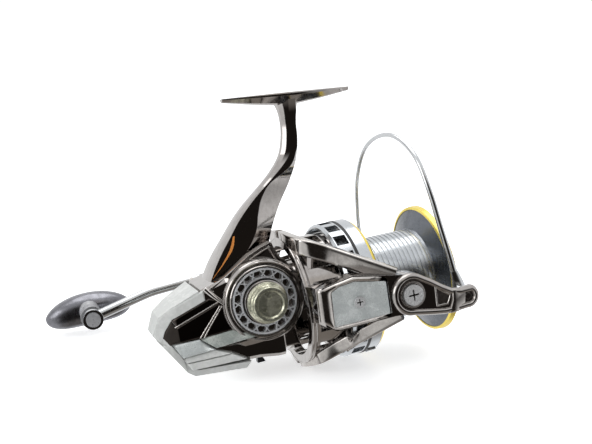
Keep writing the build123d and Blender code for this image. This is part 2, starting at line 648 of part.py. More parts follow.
with BuildPart() as slider_pawl:
    with BuildSketch(Plane.XY.offset(worm_z + worm_radius + face_gap)) as pawl_section:
        with Locations((slider_middle, worm_y)):
            Circle(1.8)
    extrude(pawl_section.sketch, amount=8.4)
save(slider_pawl, "slider_pawl")

with BuildPart() as cross_pin:
    box_between((pin_rear, -5.6, -pin_half), (pin_rear + 2 * pin_half, 5.6, pin_half))
save(cross_pin, "cross_pin")

# =========================================================================================
# Rotor: pinion, cup with two arms, nut, covers and the bail's screws
# =========================================================================================
pinion_front = 57.6
pinion_bore = shaft_radius + 0.1
with BuildPart() as pinion:
    bar_x(pinion_journal, pinion_bush_x0 - 0.4, 26.0)
    with BuildSketch(Plane(origin=(16.6, 0, 0), x_dir=(0, 1, 0), z_dir=(1, 0, 0))) as pinion_face:
        spur_outline(pinion_teeth, pinion_journal, 5.1, 1.25, 0.6, pinion_turn)
    extrude(pinion_face.sketch, amount=9.4)
    bar_x(pinion_sleeve, 26.0, pinion_front)
    bar_x(pinion_bore, 0, pinion_front + 1, mode=Mode.SUBTRACT)
save(pinion, "pinion")

with BuildPart() as clutch_sleeve:
    bar_x(clutch_inner, clutch_x0 - 0.6, rotor_front - 4.0)
    bar_x(pinion_sleeve, clutch_x0 - 1, rotor_front, mode=Mode.SUBTRACT)
save(clutch_sleeve, "clutch_sleeve")

arm_half_root = 10.5
arm_half_tip = 11.5
arm_shoulder_x = bail_x - 11.2
plate_front_x = bail_x - 13.2
plate_thickness = 1.1
plate_outline = [(29.0, -8.0), (plate_front_x, -8.0), (plate_front_x, 10.6), (44.0, 14.6), (35.0, 13.8), (30.0, 11.4)]
plate_screw_x = 45.6
plate_screw_z = 2.6
pocket_inner = 48.6
pocket_outer = 53.4
pin_radius = 2.0
kick_x = 62.0
screw_shank = 3.0

with BuildPart() as rotor_arms:
    for side in (-1, 1):
        inner = min(side * rotor_arm_inner, side * rotor_arm_outer)
        outer = max(side * rotor_arm_inner, side * rotor_arm_outer)
        slab_y([(21.4, -5.0), (30, -arm_half_root), (arm_shoulder_x, -arm_half_root), (bail_x, -arm_half_tip),
                (bail_x, arm_half_tip), (arm_shoulder_x, 13.6), (44, 18.2), (22.4, 14.8)], inner, outer)
        bar_y(bail_boss_radius, inner, outer, (bail_x, 0))
        # root of the arm, from the rear rim out to the arm
        strut((24, side * 33, 3.5), (30, side * 48, 3.5), 8, 21)
        # upper and lower strut, each with its foot on the rear rim
        strut((22.6, side * 3, 38.5), (26, side * 27, 35.5), 4.4, 8.5)
        strut((25, side * 22, 37.0), (70, side * 50.5, 12.0), 4.6, 8.0)
        strut((22.8, side * 3, -38.0), (28, side * 24, -33.0), 4.4, 6.0)
        strut((25, side * 18, -35.0), (70, side * 50.5, -11.0), 4.6, 6.0)
    # room for the spool's skirt and lip, and for the body behind the rim
    bar_x(skirt_radius + 1.5, skirt_rear - 2.0, 120, mode=Mode.SUBTRACT)
    bar_x(rotor_cup_inner + 0.8, 0, skirt_rear, mode=Mode.SUBTRACT)
    box_between((rotor_rear - 12, -60, -60), (rotor_rear, 60, 60), mode=Mode.SUBTRACT)
    # the arms' rear corners pass in front of the stem
    turned_x([(rotor_rear - 1, 48.5), (rotor_rear - 1, 70), (32, 70), (26, 59)], mode=Mode.SUBTRACT)

with BuildPart() as rotor:
    turned_x([(rotor_rear, rotor_cup_inner), (rotor_rear, rotor_rim_radius), (rotor_rear + 3.4, rotor_rim_radius),
              (rotor_rear + 4.6, rotor_cup_radius), (rotor_front - 3, rotor_cup_radius), (rotor_front, rotor_cup_radius - 3),
              (rotor_front, pinion_sleeve), (rotor_front - 4, pinion_sleeve), (rotor_front - 4, rotor_cup_inner - 2),
              (rotor_front - 6, rotor_cup_inner)])
    # windows through the cup between the arms and under the struts
    with BuildSketch(Plane.YZ.offset(rotor_rear + 6.5)) as windows:
        with PolarLocations(rotor_cup_radius, 12, start_angle=15):
            Rectangle(12, 11)
    extrude(windows.sketch, amount=16, mode=Mode.SUBTRACT)
    add(rotor_arms.part)
    # pocket of the trip lever and spring in each arm, and the bail's bearings
    for side in (-1, 1):
        low = min(side * pocket_inner, side * (rotor_arm_outer + 1))
        high = max(side * pocket_inner, side * (rotor_arm_outer + 1))
        slab_y([(33, -6.5), (62, -6.5), (62, 8.5), (33, 9.5)], low, high, mode=Mode.SUBTRACT)
        face = rotor_arm_outer - plate_thickness
        slab_y(plate_outline, min(side * face, side * 60), max(side * face, side * 60), mode=Mode.SUBTRACT)
        bar_y(screw_shank, min(side * 40, side * 60), max(side * 40, side * 60), (bail_x, 0), mode=Mode.SUBTRACT)
    for side in (-1, 1):
        bar_y(pin_radius, min(side * 48, side * pocket_outer), max(side * 48, side * pocket_outer), (kick_x - 4, 0))
save(rotor, "rotor")

with BuildPart() as rotor_nut:
    with BuildSketch(Plane.YZ.offset(rotor_front)) as nut_face:
        RegularPolygon(9.0, 6)
        Circle(pinion_sleeve, mode=Mode.SUBTRACT)
    extrude(nut_face.sketch, amount=5.0)
save(rotor_nut, "rotor_nut")

with BuildPart() as arm_covers:
    for side in (-1, 1):
        low = min(side * rotor_arm_outer, side * (rotor_arm_outer - plate_thickness))
        high = max(side * rotor_arm_outer, side * (rotor_arm_outer - plate_thickness))
        slab_y(plate_outline, low, high)
        bar_y(1.5, low - 1, high + 1, (plate_screw_x, plate_screw_z), mode=Mode.SUBTRACT)
save(arm_covers, "arm_covers")

with BuildPart() as arm_cover_screws:
    for side in (-1, 1):
        head = rotor_arm_outer + 0.8
        bar_y(1.5, min(side * pocket_inner, side * head), max(side * pocket_inner, side * head),
              (plate_screw_x, plate_screw_z))
        bar_y(3.3, min(side * rotor_arm_outer, side * head), max(side * rotor_arm_outer, side * head),
              (plate_screw_x, plate_screw_z))
        with Locations((plate_screw_x, side * head, plate_screw_z)):
            Box(3.8, 0.9, 0.8, mode=Mode.SUBTRACT)
            Box(0.8, 0.9, 3.8, mode=Mode.SUBTRACT)
save(arm_cover_screws, "arm_cover_screws")

bail_inner = rotor_arm_outer + face_gap
bail_outer = bail_inner + bail_thickness
head_radius = 6.0
head_depth = 1.6
with BuildPart() as pivot_screws:
    for side in (-1, 1):
        bar_y(screw_shank, min(side * 46, side * (bail_outer - head_depth)), max(side * 46, side * (bail_outer - head_depth)), (bail_x, 0))
        low = bail_outer - head_depth + 0.2
        high = bail_outer + 0.7
        bar_y(head_radius, min(side * low, side * high), max(side * low, side * high), (bail_x, 0))
        bar_y(screw_shank, min(side * (low - 1), side * low), max(side * (low - 1), side * low), (bail_x, 0))
        with Locations((bail_x, side * high, 0)):
            Box(6.4, 1.6, 1.1, mode=Mode.SUBTRACT)
            Box(1.1, 1.6, 6.4, mode=Mode.SUBTRACT)
save(pivot_screws, "pivot_screws")

with BuildPart() as bail_spring:
    with BuildLine() as coil:
        Helix(2.0, 14.0, 2.0, center=(34.6, -51.2, -3.4), direction=(1, 0, 0))
    with BuildSketch(Plane(origin=coil.line @ 0, z_dir=coil.line % 0)):
        Circle(0.4)
    sweep()
save(bail_spring, "bail_spring")

with BuildPart() as kick_lever:
    lever_low = -52.6
    lever_high = -49.6
    bar_y(4.0, lever_low, lever_high, (kick_x - 4, 0))
    slab_y([(kick_x - 4, -3.0), (kick_x - 4, 3.0), (kick_x - 12, 0.6), (kick_x - 12, -3.6)], lever_low, lever_high)
    bar_y(pin_radius + running_gap, -56, -45, (kick_x - 4, 0), mode=Mode.SUBTRACT)
save(kick_lever, "kick_lever")

# =========================================================================================
# Bail: arm with line roller, wire and far holder
# =========================================================================================
tip_radius = 7.0
neck_x = 96.0
roller_low = -53.4
roller_high = -48.2
with BuildPart() as bail_arm:
    bar_y(bail_boss_radius, -bail_outer, -bail_inner, (bail_x, 0))
    slab_y([(bail_x + 3, bail_boss_radius - 0.6), (84, 10.4), (neck_x + 2, 0.2), (roller_x + 1, roller_z + tip_radius - 0.6),
            (roller_x + 4, roller_z - tip_radius + 1), (roller_x - 3, roller_z - tip_radius), (neck_x, -16.4),
            (bail_x, -bail_boss_radius + 0.1)], -bail_outer, -bail_inner)
    bar_y(tip_radius, -bail_outer, -bail_inner, (roller_x, roller_z))
    slab_y([(84.5, 5.4), (95, -2.6), (100.5, -7.0), (99, -12.0), (93, -12.4), (86.5, -7.4)], -bail_outer - 1, -bail_inner - 1.8,
           mode=Mode.SUBTRACT)
    bar_y(screw_shank + running_gap, -bail_outer - 1, -bail_inner + 1, (bail_x, 0), mode=Mode.SUBTRACT)
    bar_y(head_radius + 0.3, -bail_outer - 1, -bail_outer + head_depth, (bail_x, 0), mode=Mode.SUBTRACT)
    bar_y(2.0, -bail_inner - 1, -46.4, (roller_x, roller_z))
save(bail_arm, "bail_arm")

with BuildPart() as roller_bush:
    bar_y(2.7, roller_low - 0.2, roller_high + 0.2, (roller_x, roller_z))
    bar_y(2.0, -60, -40, (roller_x, roller_z), mode=Mode.SUBTRACT)
save(roller_bush, "roller_bush")

with BuildPart() as line_roller:
    turned_y([(2.7 + running_gap, roller_low), (roller_radius + 1.3, roller_low), (roller_radius, roller_low + 1.7),
              (roller_radius, roller_high - 1.7), (roller_radius + 1.3, roller_high), (2.7 + running_gap, roller_high)],
             (roller_x, roller_z))
save(line_roller, "line_roller")

wire_near = (110.4, -46.6, 6.0)
wire_far = (94.5, 50.4, 11.0)
wire_height = 88.5
wire_corner = 40.0
near_shoulder = (103.8, wire_near[1] - 1.4, wire_height)
far_shoulder = (100.8, wire_far[1] + 0.2, wire_height)
wire_lean = Vector(*near_shoulder) - Vector(*wire_near)
with BuildPart() as bail_wire:
    with BuildLine() as wire_line:
        FilletPolyline(wire_near, near_shoulder, far_shoulder, wire_far, radius=wire_corner)
    with BuildSketch(Plane(origin=wire_line.line @ 0, z_dir=wire_line.line % 0)):
        Circle(wire_radius)
    sweep()
save(bail_wire, "bail_wire")

with BuildPart() as wire_cone:
    with BuildSketch(Plane(origin=(roller_x, wire_near[1], roller_z), x_dir=(0, 1, 0), z_dir=wire_lean)) as cone_base:
        Ellipse(1.2, 4.0)
    with BuildSketch(Plane(origin=wire_near, x_dir=(0, 1, 0), z_dir=wire_lean)) as cone_top:
        Circle(wire_radius + 0.2)
    loft([cone_base.sketch.face(), cone_top.sketch.face()])
    bar_y(4.4, wire_near[1] - 1.2, wire_near[1] + 1.6, (roller_x, roller_z))
    bar_y(2.0, wire_near[1] - 2, wire_near[1] + 0.2, (roller_x, roller_z), mode=Mode.SUBTRACT)
save(wire_cone, "wire_cone")

with BuildPart() as bail_holder:
    bar_y(9.0, bail_inner, bail_outer, (bail_x, 0))
    slab_y([(bail_x, 8.8), (92, 13.0), (98.0, 12.0), (98.0, 5.6), (bail_x, -8.8)], bail_inner, bail_outer)
    box_between((91.6, 48.4, 6.2), (97.6, bail_outer, wire_far[2]))
    bar_y(screw_shank + running_gap, bail_inner - 1, bail_outer + 1, (bail_x, 0), mode=Mode.SUBTRACT)
    bar_y(head_radius + 0.3, bail_outer - head_depth, bail_outer + 1, (bail_x, 0), mode=Mode.SUBTRACT)
save(bail_holder, "bail_holder")

# =========================================================================================
# Spool: skirt, arbor, flange and lip, with the drag stack in its front
# =========================================================================================
arbor_rear = skirt_front
recess_radius = 19.4
recess_rear = 101.0
wall_rear = arbor_rear - 3.0
wall_front = arbor_rear + 1.4
wall_radius = 38.6
flange_seat = 22.5          # radius of the arbor's spigot that carries the front flange
flange_front = arbor_front + 2.2
with BuildPart() as spool_arbor:
    turned_x([(wall_rear, shaft_radius + running_gap), (wall_rear, arbor_radius), (arbor_front, arbor_radius),
              (arbor_front, flange_seat), (flange_front, flange_seat), (flange_front, recess_radius),
              (recess_rear, recess_radius), (recess_rear, 8.0), (arbor_rear + 12, 8.0),
              (arbor_rear + 12, shaft_radius + running_gap)])
    # shallow line grooves round the arbor
    groove_count = 13
    for step in range(groove_count):
        groove_x = arbor_rear + 5.0 + step * (arbor_front - arbor_rear - 7.0) / (groove_count - 1)
        with BuildSketch(Plane.YZ.offset(groove_x - 0.55)) as groove:
            Circle(arbor_radius + 1)
            Circle(arbor_radius - 0.6, mode=Mode.SUBTRACT)
        extrude(groove.sketch, amount=1.1, mode=Mode.SUBTRACT)
    # cored out between the hub and the arbor, from behind
    with BuildSketch(Plane.YZ.offset(arbor_rear - 4)) as core:
        Circle(arbor_radius - 2.2)
        Circle(11.0, mode=Mode.SUBTRACT)
    extrude(core.sketch, amount=32, mode=Mode.SUBTRACT)
save(spool_arbor, "spool_arbor")

with BuildPart() as spool_flange:
    turned_x([(arbor_front, flange_seat), (arbor_front, arbor_radius), (lip_rear, lip_radius - 1.6),
              (lip_front - 1.2, lip_radius - 1.6), (lip_front - 1.2, lip_radius - 4.0),
              (flange_front, arbor_radius - 1.0), (flange_front, flange_seat)])
save(spool_flange, "spool_flange")

oring_x = 57.5
skirt_holes = 20
clip_rivet = 1.2
clip_place = Location((61.6, 0, 0), (-118, 0, 0))
with BuildPart() as spool_skirt:
    turned_x([(skirt_rear, skirt_inner), (skirt_rear, skirt_radius - 1.4), (skirt_rear + 1.6, skirt_radius - 0.2),
              (oring_x - 0.9, skirt_radius - 0.2), (oring_x - 0.9, skirt_radius - 1.2), (oring_x + 0.9, skirt_radius - 1.2),
              (oring_x + 0.9, skirt_radius - 0.1), (skirt_front - 1.6, skirt_radius - 0.1), (skirt_front - 1.6, wall_radius),
              (wall_front, wall_radius), (wall_front, arbor_radius), (wall_rear, arbor_radius), (wall_rear, skirt_inner)])
    for step in range(skirt_holes):
        turn = 360 / skirt_holes * step
        with Locations(Location((51.9, 0, 0), (turn, 0, 0)) * Location((0, skirt_radius, 0))):
            Box(7.6, 10, 8.0, mode=Mode.SUBTRACT)
    with Locations(clip_place * Location((0, skirt_radius - 1.2, 0))):
        Cylinder(clip_rivet, 6, rotation=(90, 0, 0), mode=Mode.SUBTRACT)
save(spool_skirt, "spool_skirt")

with BuildPart() as skirt_oring:
    turned_x([(oring_x - 0.9, skirt_radius - 1.2), (oring_x - 0.9, skirt_radius), (oring_x + 0.9, skirt_radius),
              (oring_x + 0.9, skirt_radius - 1.2)])
save(skirt_oring, "skirt_oring")

with BuildPart() as skirt_gold_ring:
    turned_x([(skirt_front - 1.6, wall_radius), (skirt_front - 1.6, skirt_radius - 0.6), (skirt_front, skirt_radius - 1.2),
              (skirt_front + 1.0, 40.0), (skirt_front + 1.0, wall_radius)])
save(skirt_gold_ring, "skirt_gold_ring")

with BuildPart() as spool_lip:
    turned_x([(lip_rear - 0.4, lip_radius - 1.6), (lip_rear, lip_radius), (lip_front, lip_radius + 0.4),
              (lip_front, lip_radius - 4.0), (lip_front - 1.2, lip_radius - 4.0), (lip_front - 1.2, lip_radius - 1.6)])
save(spool_lip, "spool_lip")

with BuildPart() as line_clip:
    with Locations(clip_place * Location((0, skirt_radius + 0.35, 0))):
        Box(5.4, 0.9, 4.4)
    with Locations(clip_place * Location((0, skirt_radius - 1.2, 0))):
        Cylinder(clip_rivet, 2.6, rotation=(90, 0, 0))
save(line_clip, "line_clip")

with BuildPart() as click_gear:
    with BuildSketch(Plane.YZ.offset(arbor_rear - 6.0)) as click_face:
        Circle(10.0)
        with PolarLocations(10.0, 24):
            Rectangle(1.4, 1.3)
        Circle(4.0, mode=Mode.SUBTRACT)
    extrude(click_face.sketch, amount=3.0)
save(click_gear, "click_gear")

# ---- drag stack --------------------------------------------------------------------------------
washer_bore = 6.6
with BuildPart() as drag_washers:
    for start in (recess_rear, recess_rear + 2.0):
        with BuildSketch(Plane.YZ.offset(start)) as washer:
            Circle(recess_radius - 1.2)
            Circle(washer_bore, mode=Mode.SUBTRACT)
        extrude(washer.sketch, amount=1.0)
save(drag_washers, "drag_washers")

with BuildPart() as drag_plates:
    for start in (recess_rear + 1.0, recess_rear + 3.0):
        with BuildSketch(Plane.YZ.offset(start)) as steel:
            Circle(recess_radius - 1.2)
            with PolarLocations(recess_radius - 1.2, 4):
                Rectangle(2.0, 4.0)
            Circle(washer_bore, mode=Mode.SUBTRACT)
        extrude(steel.sketch, amount=1.0)
save(drag_plates, "drag_plates")

with BuildPart() as washer_clip:
    with BuildLine(Plane.YZ.offset(recess_rear + 4.9)) as clip_line:
        CenterArc((0, 0), recess_radius - 0.55, 10, 330)
    with BuildSketch(Plane(origin=clip_line.line @ 0, z_dir=clip_line.line % 0)):
        Circle(0.5)
    sweep()
save(washer_clip, "washer_clip")

knob_skirt_front = 112.0
plate_front = recess_rear + 4.0 + 3.4
with BuildPart() as pressure_plate:
    bar_x(recess_radius - 3.4, recess_rear + 4.0 + face_gap, plate_front)
    bar_x(shaft_radius + 0.3, 100, 130, mode=Mode.SUBTRACT)
save(pressure_plate, "pressure_plate")

with BuildPart() as drag_knob:
    turned_x([(plate_front + 2.2, shaft_radius + running_gap), (plate_front + 2.2, 9.6), (plate_front + 1.0, 9.6), (plate_front + 1.0, drag_knob_radius - 0.9),
              (knob_skirt_front, drag_knob_radius), (knob_skirt_front + 5, drag_knob_radius), (drag_knob_front - 3.5, drag_knob_radius - 3),
              (drag_knob_front, drag_knob_radius - 6), (drag_knob_front, 0), (shaft_front + 0.5, 0), (shaft_front + 0.5, shaft_radius + running_gap)])
    with BuildSketch(Plane.YZ.offset(knob_skirt_front + 0.8)) as finger_cuts:
        with PolarLocations(drag_knob_radius + 1.6, 10):
            Circle(3.2)
    extrude(finger_cuts.sketch, amount=14, mode=Mode.SUBTRACT)
    # pocket for the brass nut
    with BuildSketch(Plane.YZ.offset(plate_front + 1.0)) as nut_pocket:
        RegularPolygon(6.2, 6)
    extrude(nut_pocket.sketch, amount=5.0, mode=Mode.SUBTRACT)
save(drag_knob, "drag_knob")

with BuildPart() as drag_nut:
    with BuildSketch(Plane.YZ.offset(plate_front + 1.0)) as brass_nut:
        RegularPolygon(6.2, 6)
        Circle(shaft_radius + running_gap, mode=Mode.SUBTRACT)
    extrude(brass_nut.sketch, amount=5.0)
save(drag_nut, "drag_nut")
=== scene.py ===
# %% [markdown]
# # Long-cast spinning reel
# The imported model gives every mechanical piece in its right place. This script adds the looks: it gives
# each piece its plating, paint, rubber or bare steel, and swaps the plainest castings for finer surfaces
# that are worked out with numpy. Blender's lengths are metres, in the model's own frame: +X is forward
# along the spool's axis, +Y is the handle's side and +Z is up towards the foot.

# %% Load the frame
import json

import bmesh
import bpy
import numpy as np
from mathutils import Matrix, Vector


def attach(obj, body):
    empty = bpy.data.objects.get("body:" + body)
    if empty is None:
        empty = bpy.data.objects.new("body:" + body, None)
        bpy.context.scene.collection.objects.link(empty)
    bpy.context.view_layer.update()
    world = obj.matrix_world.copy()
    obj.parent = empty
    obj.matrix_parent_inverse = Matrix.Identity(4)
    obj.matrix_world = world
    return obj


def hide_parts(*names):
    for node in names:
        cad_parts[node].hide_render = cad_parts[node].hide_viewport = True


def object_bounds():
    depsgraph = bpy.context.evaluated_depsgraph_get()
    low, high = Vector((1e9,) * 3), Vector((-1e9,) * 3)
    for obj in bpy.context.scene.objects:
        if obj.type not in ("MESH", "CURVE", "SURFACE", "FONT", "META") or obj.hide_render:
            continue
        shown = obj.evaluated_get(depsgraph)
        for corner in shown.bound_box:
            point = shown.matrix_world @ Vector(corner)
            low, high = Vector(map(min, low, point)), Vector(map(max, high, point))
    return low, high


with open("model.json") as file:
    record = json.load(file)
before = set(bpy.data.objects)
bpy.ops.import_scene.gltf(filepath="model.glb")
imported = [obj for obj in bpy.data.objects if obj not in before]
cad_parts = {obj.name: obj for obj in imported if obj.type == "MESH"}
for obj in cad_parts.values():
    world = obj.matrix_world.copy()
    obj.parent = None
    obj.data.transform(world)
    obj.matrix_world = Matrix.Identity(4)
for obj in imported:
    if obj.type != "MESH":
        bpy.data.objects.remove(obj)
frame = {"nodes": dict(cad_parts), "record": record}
cad_low, cad_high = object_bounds()
MM = 0.001
print("CAD box in mm:", [round(v / MM, 1) for v in (*cad_low, *cad_high)])

# %% [markdown]
# ## Camera
# The reel is seen from its cover side, a little from behind and a little from above. It lies on its tail
# and the spool's skirt, so it leans against the floor. That is why the camera isn't turned by angles: it
# is placed in the reel's own frame by unit vectors, its right and its up, and their cross product is its
# back.

# %% Camera
camera_place = Vector((-0.11525, -0.46414, 0.11231))
camera_right = Vector((0.93214, -0.32337, -0.16290))
camera_up = Vector((0.19697, 0.07538, 0.97751))
camera_data = bpy.data.cameras.new("camera")
camera_data.sensor_width = 36.0
camera_data.lens = 49.03
camera = bpy.data.objects.new("camera", camera_data)
bpy.context.scene.collection.objects.link(camera)
camera_back = camera_right.cross(camera_up).normalized()
turn = Matrix((camera_right, camera_up, camera_back)).transposed().to_4x4()
camera.matrix_world = Matrix.Translation(camera_place) @ turn
bpy.context.scene.camera = camera
bpy.context.scene.view_settings.view_transform = "Standard"
print("camera looks along", [round(-v, 3) for v in camera_back])

# %% [markdown]
# ## Floor
# The floor is a plain pale sheet. Its upward direction is set by how the reel lies, and its height by the
# lowest point of the model along that direction, so the reel rests on it without sinking in.

# %% Floor
floor_up = Vector((0.130, -0.122, 0.984)).normalized()
lowest = min(min(v.co.dot(floor_up) for v in node.data.vertices) for node in frame["nodes"].values())
floor_x = Vector((1, 0, 0)) - floor_up * floor_up.x
floor_x.normalize()
floor_y = floor_up.cross(floor_x)
floor_half = 6.0
corners = [floor_up * lowest + floor_x * a * floor_half + floor_y * b * floor_half
           for a, b in ((-1, -1), (1, -1), (1, 1), (-1, 1))]
floor_mesh = bpy.data.meshes.new("floor")
floor_mesh.from_pydata([tuple(c) for c in corners], [], [(0, 1, 2, 3)])
floor = bpy.data.objects.new("floor", floor_mesh)
bpy.context.scene.collection.objects.link(floor)
floor.visible_glossy = False
print("floor lies", round(lowest / MM, 1), "mm along its own up direction")

# %% [markdown]
# ## A few words for nodes
# Both the room and the finishes are built from shader nodes. A handful of short helpers make that
# readable: each adds one node and gives back its output, so a pattern reads like a sum.


# %% Node helpers
def feed(tree, socket, value):
    """Puts a value into a socket: an output is linked, and a colour or a number is set as it is."""
    if isinstance(value, bpy.types.NodeSocket):
        tree.links.new(value, socket)
    elif isinstance(value, tuple):
        socket.default_value = (*value, 1)
    else:
        socket.default_value = value


def math_node(tree, operation, *operands):
    """Math node; each operand is a number or an output."""
    node = tree.nodes.new("ShaderNodeMath")
    node.operation = operation
    for socket, value in zip(node.inputs, operands):
        feed(tree, socket, value)
    return node.outputs[0]


def blend_colour(tree, mask, first, second):
    """Colour that goes from first to second with the mask; each is a colour or an output."""
    node = tree.nodes.new("ShaderNodeMix")
    node.data_type = "RGBA"
    for label, value in (("Factor", mask), ("A", first), ("B", second)):
        feed(tree, node.inputs[label], value)
    return node.outputs["Result"]


def blend_value(tree, mask, low, high):
    """Number that goes from low to high with the mask: mask x (high - low) + low."""
    return math_node(tree, "MULTIPLY_ADD", mask, high - low, low)


print("node helpers are ready")

# %% [markdown]
# ## The room
# Mirror plating shows the room more than itself. So the world is bright above, behind and at the far side
# of the reel, and dark where the viewer stands, with small bright strips at the left and above. An image
# of a studio would do the same, but smooth lobes round a few directions are easier to place. Rays that go
# straight to the eye see only an even white backdrop, and the floor is left out of the mirrors.

# %% World
world = bpy.data.worlds.new("studio")
bpy.context.scene.world = world
world.use_nodes = True
room_tree = world.node_tree
room_tree.nodes.clear()
look = room_tree.nodes.new("ShaderNodeTexCoord").outputs["Generated"]


def facing(direction, low, high):
    """Mask of the world: 0 where the cosine of the angle to a direction is below low, 1 above high."""
    dot = room_tree.nodes.new("ShaderNodeVectorMath")
    dot.operation = "DOT_PRODUCT"
    dot.inputs[1].default_value = Vector(direction).normalized()
    feed(room_tree, dot.inputs[0], look)
    band = room_tree.nodes.new("ShaderNodeMapRange")
    band.interpolation_type = "SMOOTHSTEP"
    for label, value in (("Value", dot.outputs["Value"]), ("From Min", low), ("From Max", high)):
        feed(room_tree, band.inputs[label], value)
    return band.outputs["Result"]


def background(colour, strength):
    """Background shader; colour is a colour or an output."""
    node = room_tree.nodes.new("ShaderNodeBackground")
    feed(room_tree, node.inputs["Color"], colour)
    feed(room_tree, node.inputs["Strength"], strength)
    return node.outputs[0]


# direction, where its lobe starts and is full, colour
lobes = [
    ((-0.05, -0.97, -0.16), 0.50, 0.86, (0.018, 0.015, 0.013)),  # the dark side, where the viewer stands
    ((0.10, -0.35, -0.93), 0.70, 0.98, (0.30, 0.275, 0.25)),  # the table below, warm and dim
    ((-0.78, -0.58, -0.22), 0.955, 0.985, (0.75, 0.76, 0.76)),  # a strip low on the left
    ((0.15, -0.80, 0.58), 0.965, 0.99, (0.85, 0.82, 0.78)),  # a strip above
]
room = (0.98, 0.99, 1.0)
for direction, low, high, colour in lobes:
    room = blend_colour(room_tree, facing(direction, low, high), room, colour)
eye_or_mirror = room_tree.nodes.new("ShaderNodeMixShader")
feed(room_tree, eye_or_mirror.inputs[0], room_tree.nodes.new("ShaderNodeLightPath").outputs["Is Camera Ray"])
feed(room_tree, eye_or_mirror.inputs[1], background(room, 1.0))
feed(room_tree, eye_or_mirror.inputs[2], background((1.0, 1.0, 1.0), 1.05))
feed(room_tree, room_tree.nodes.new("ShaderNodeOutputWorld").inputs["Surface"], eye_or_mirror.outputs[0])
print("the room has", len(lobes), "lobes over an even white")

# %% [markdown]
# ## Lamps
# Two weak soft boxes give the floor its faint shadow and the top edges their shine. The room does the
# rest.

# %% Lamps
middle = (cad_low + cad_high) / 2


def soft_lamp(name, away, distance, size, power):
    """Square area lamp at a distance from the reel's middle in the direction away, facing the middle."""
    data = bpy.data.lights.new(name, "AREA")
    data.shape = "SQUARE"
    data.size = size
    data.energy = power
    lamp = bpy.data.objects.new(name, data)
    bpy.context.scene.collection.objects.link(lamp)
    direction = Vector(away).normalized()
    facing_in = direction.to_track_quat("Z", "Y").to_matrix().to_4x4()
    lamp.matrix_world = Matrix.Translation(middle + direction * distance) @ facing_in
    return lamp


top_box = soft_lamp("top_box", (0.1, 0.15, 1.0), 0.9, 0.9, 4.5)
left_box = soft_lamp("left_box", (-1.0, -0.35, 0.45), 0.9, 0.5, 1.6)
print("lamps:", top_box.data.energy, "W above and", left_box.data.energy, "W at the left")

# %% [markdown]
# ## Shared effects
# Two small node groups are used by every finish. *Handling* gives a slow, patchy mask: the faint film
# that fingers leave on metal. *Grain* gives a fine height for bead-blasted or moulded surfaces. They are
# groups, so that one change reaches every finish.


# %% Handling and grain
def new_group(name, inputs, output):
    """Empty shader node group with float inputs (name, default) and one float output."""
    tree = bpy.data.node_groups.new(name, "ShaderNodeTree")
    for label, value in inputs:
        socket = tree.interface.new_socket(label, in_out="INPUT", socket_type="NodeSocketFloat")
        socket.default_value = value
    tree.interface.new_socket(output, in_out="OUTPUT", socket_type="NodeSocketFloat")
    return tree, tree.nodes.new("NodeGroupInput").outputs, tree.nodes.new("NodeGroupOutput").inputs[output]


def noise_in(tree, scale, detail, roughness):
    """Noise texture on object coordinates; scale is a number or an output, in cycles per metre."""
    noise = tree.nodes.new("ShaderNodeTexNoise")
    feed(tree, noise.inputs["Vector"], tree.nodes.new("ShaderNodeTexCoord").outputs["Object"])
    for label, value in (("Scale", scale), ("Detail", detail), ("Roughness", roughness)):
        feed(tree, noise.inputs[label], value)
    return noise.outputs["Fac"]


def handling_group():
    """Slow noise x fine noise, spread round its middle and clamped: 0 is clean and 1 is handled."""
    tree, entry, leave = new_group("handling", [("Scale", 60.0), ("Amount", 1.0)], "Mask")
    broad = noise_in(tree, entry["Scale"], 3.0, 0.55)
    fine = noise_in(tree, math_node(tree, "MULTIPLY", entry["Scale"], 7.0), 5.0, 0.65)
    both = math_node(tree, "MULTIPLY", broad, fine)
    spread = math_node(tree, "MULTIPLY", math_node(tree, "SUBTRACT", both, 0.16), 4.5)
    clamp = tree.nodes.new("ShaderNodeClamp")
    feed(tree, clamp.inputs["Value"], math_node(tree, "MULTIPLY", spread, entry["Amount"]))
    feed(tree, leave, clamp.outputs[0])
    return tree


def grain_group():
    """Fine even height of a blasted or moulded surface."""
    tree, entry, leave = new_group("grain", [("Scale", 2500.0)], "Height")
    feed(tree, leave, noise_in(tree, entry["Scale"], 2.0, 0.5))
    return tree


HANDLING = handling_group()
GRAIN = grain_group()
print("groups:", HANDLING.name, "and", GRAIN.name)

# %% [markdown]
# ## One recipe for most finishes
# Plating, satin castings, rubber and plastic differ in numbers, not in kind: a clean and a handled
# colour, two roughnesses, how metallic the surface is and how fine its grain. The shading also turns
# softly round edges, as a cast or milled edge does, because a perfectly sharp edge never catches the
# light.


# %% Finish recipe
def effect(tree, group, **values):
    """Places a shared group in a material and sets its inputs by name."""
    node = tree.nodes.new("ShaderNodeGroup")
    node.node_tree = group
    for label, value in values.items():
        feed(tree, node.inputs[label], value)
    return node.outputs[0]


def shader(name):
    """New material with a Principled BSDF; returns the material, its tree and the shader's inputs."""
    material = bpy.data.materials.new(name)
    material.use_nodes = True
    return material, material.node_tree, material.node_tree.nodes["Principled BSDF"].inputs


def round_edges(tree, radius):
    """Normal that turns softly round the mesh's edges."""
    node = tree.nodes.new("ShaderNodeBevel")
    node.samples = 4
    feed(tree, node.inputs["Radius"], radius)
    return node.outputs[0]


def bump(tree, height, distance, normal=None, strength=1.0):
    """Normal bent by a height; distance is the height of the relief in metres."""
    node = tree.nodes.new("ShaderNodeBump")
    if normal is not None:
        feed(tree, node.inputs["Normal"], normal)
    for label, value in (("Distance", distance), ("Strength", strength), ("Height", height)):
        feed(tree, node.inputs[label], value)
    return node.outputs[0]


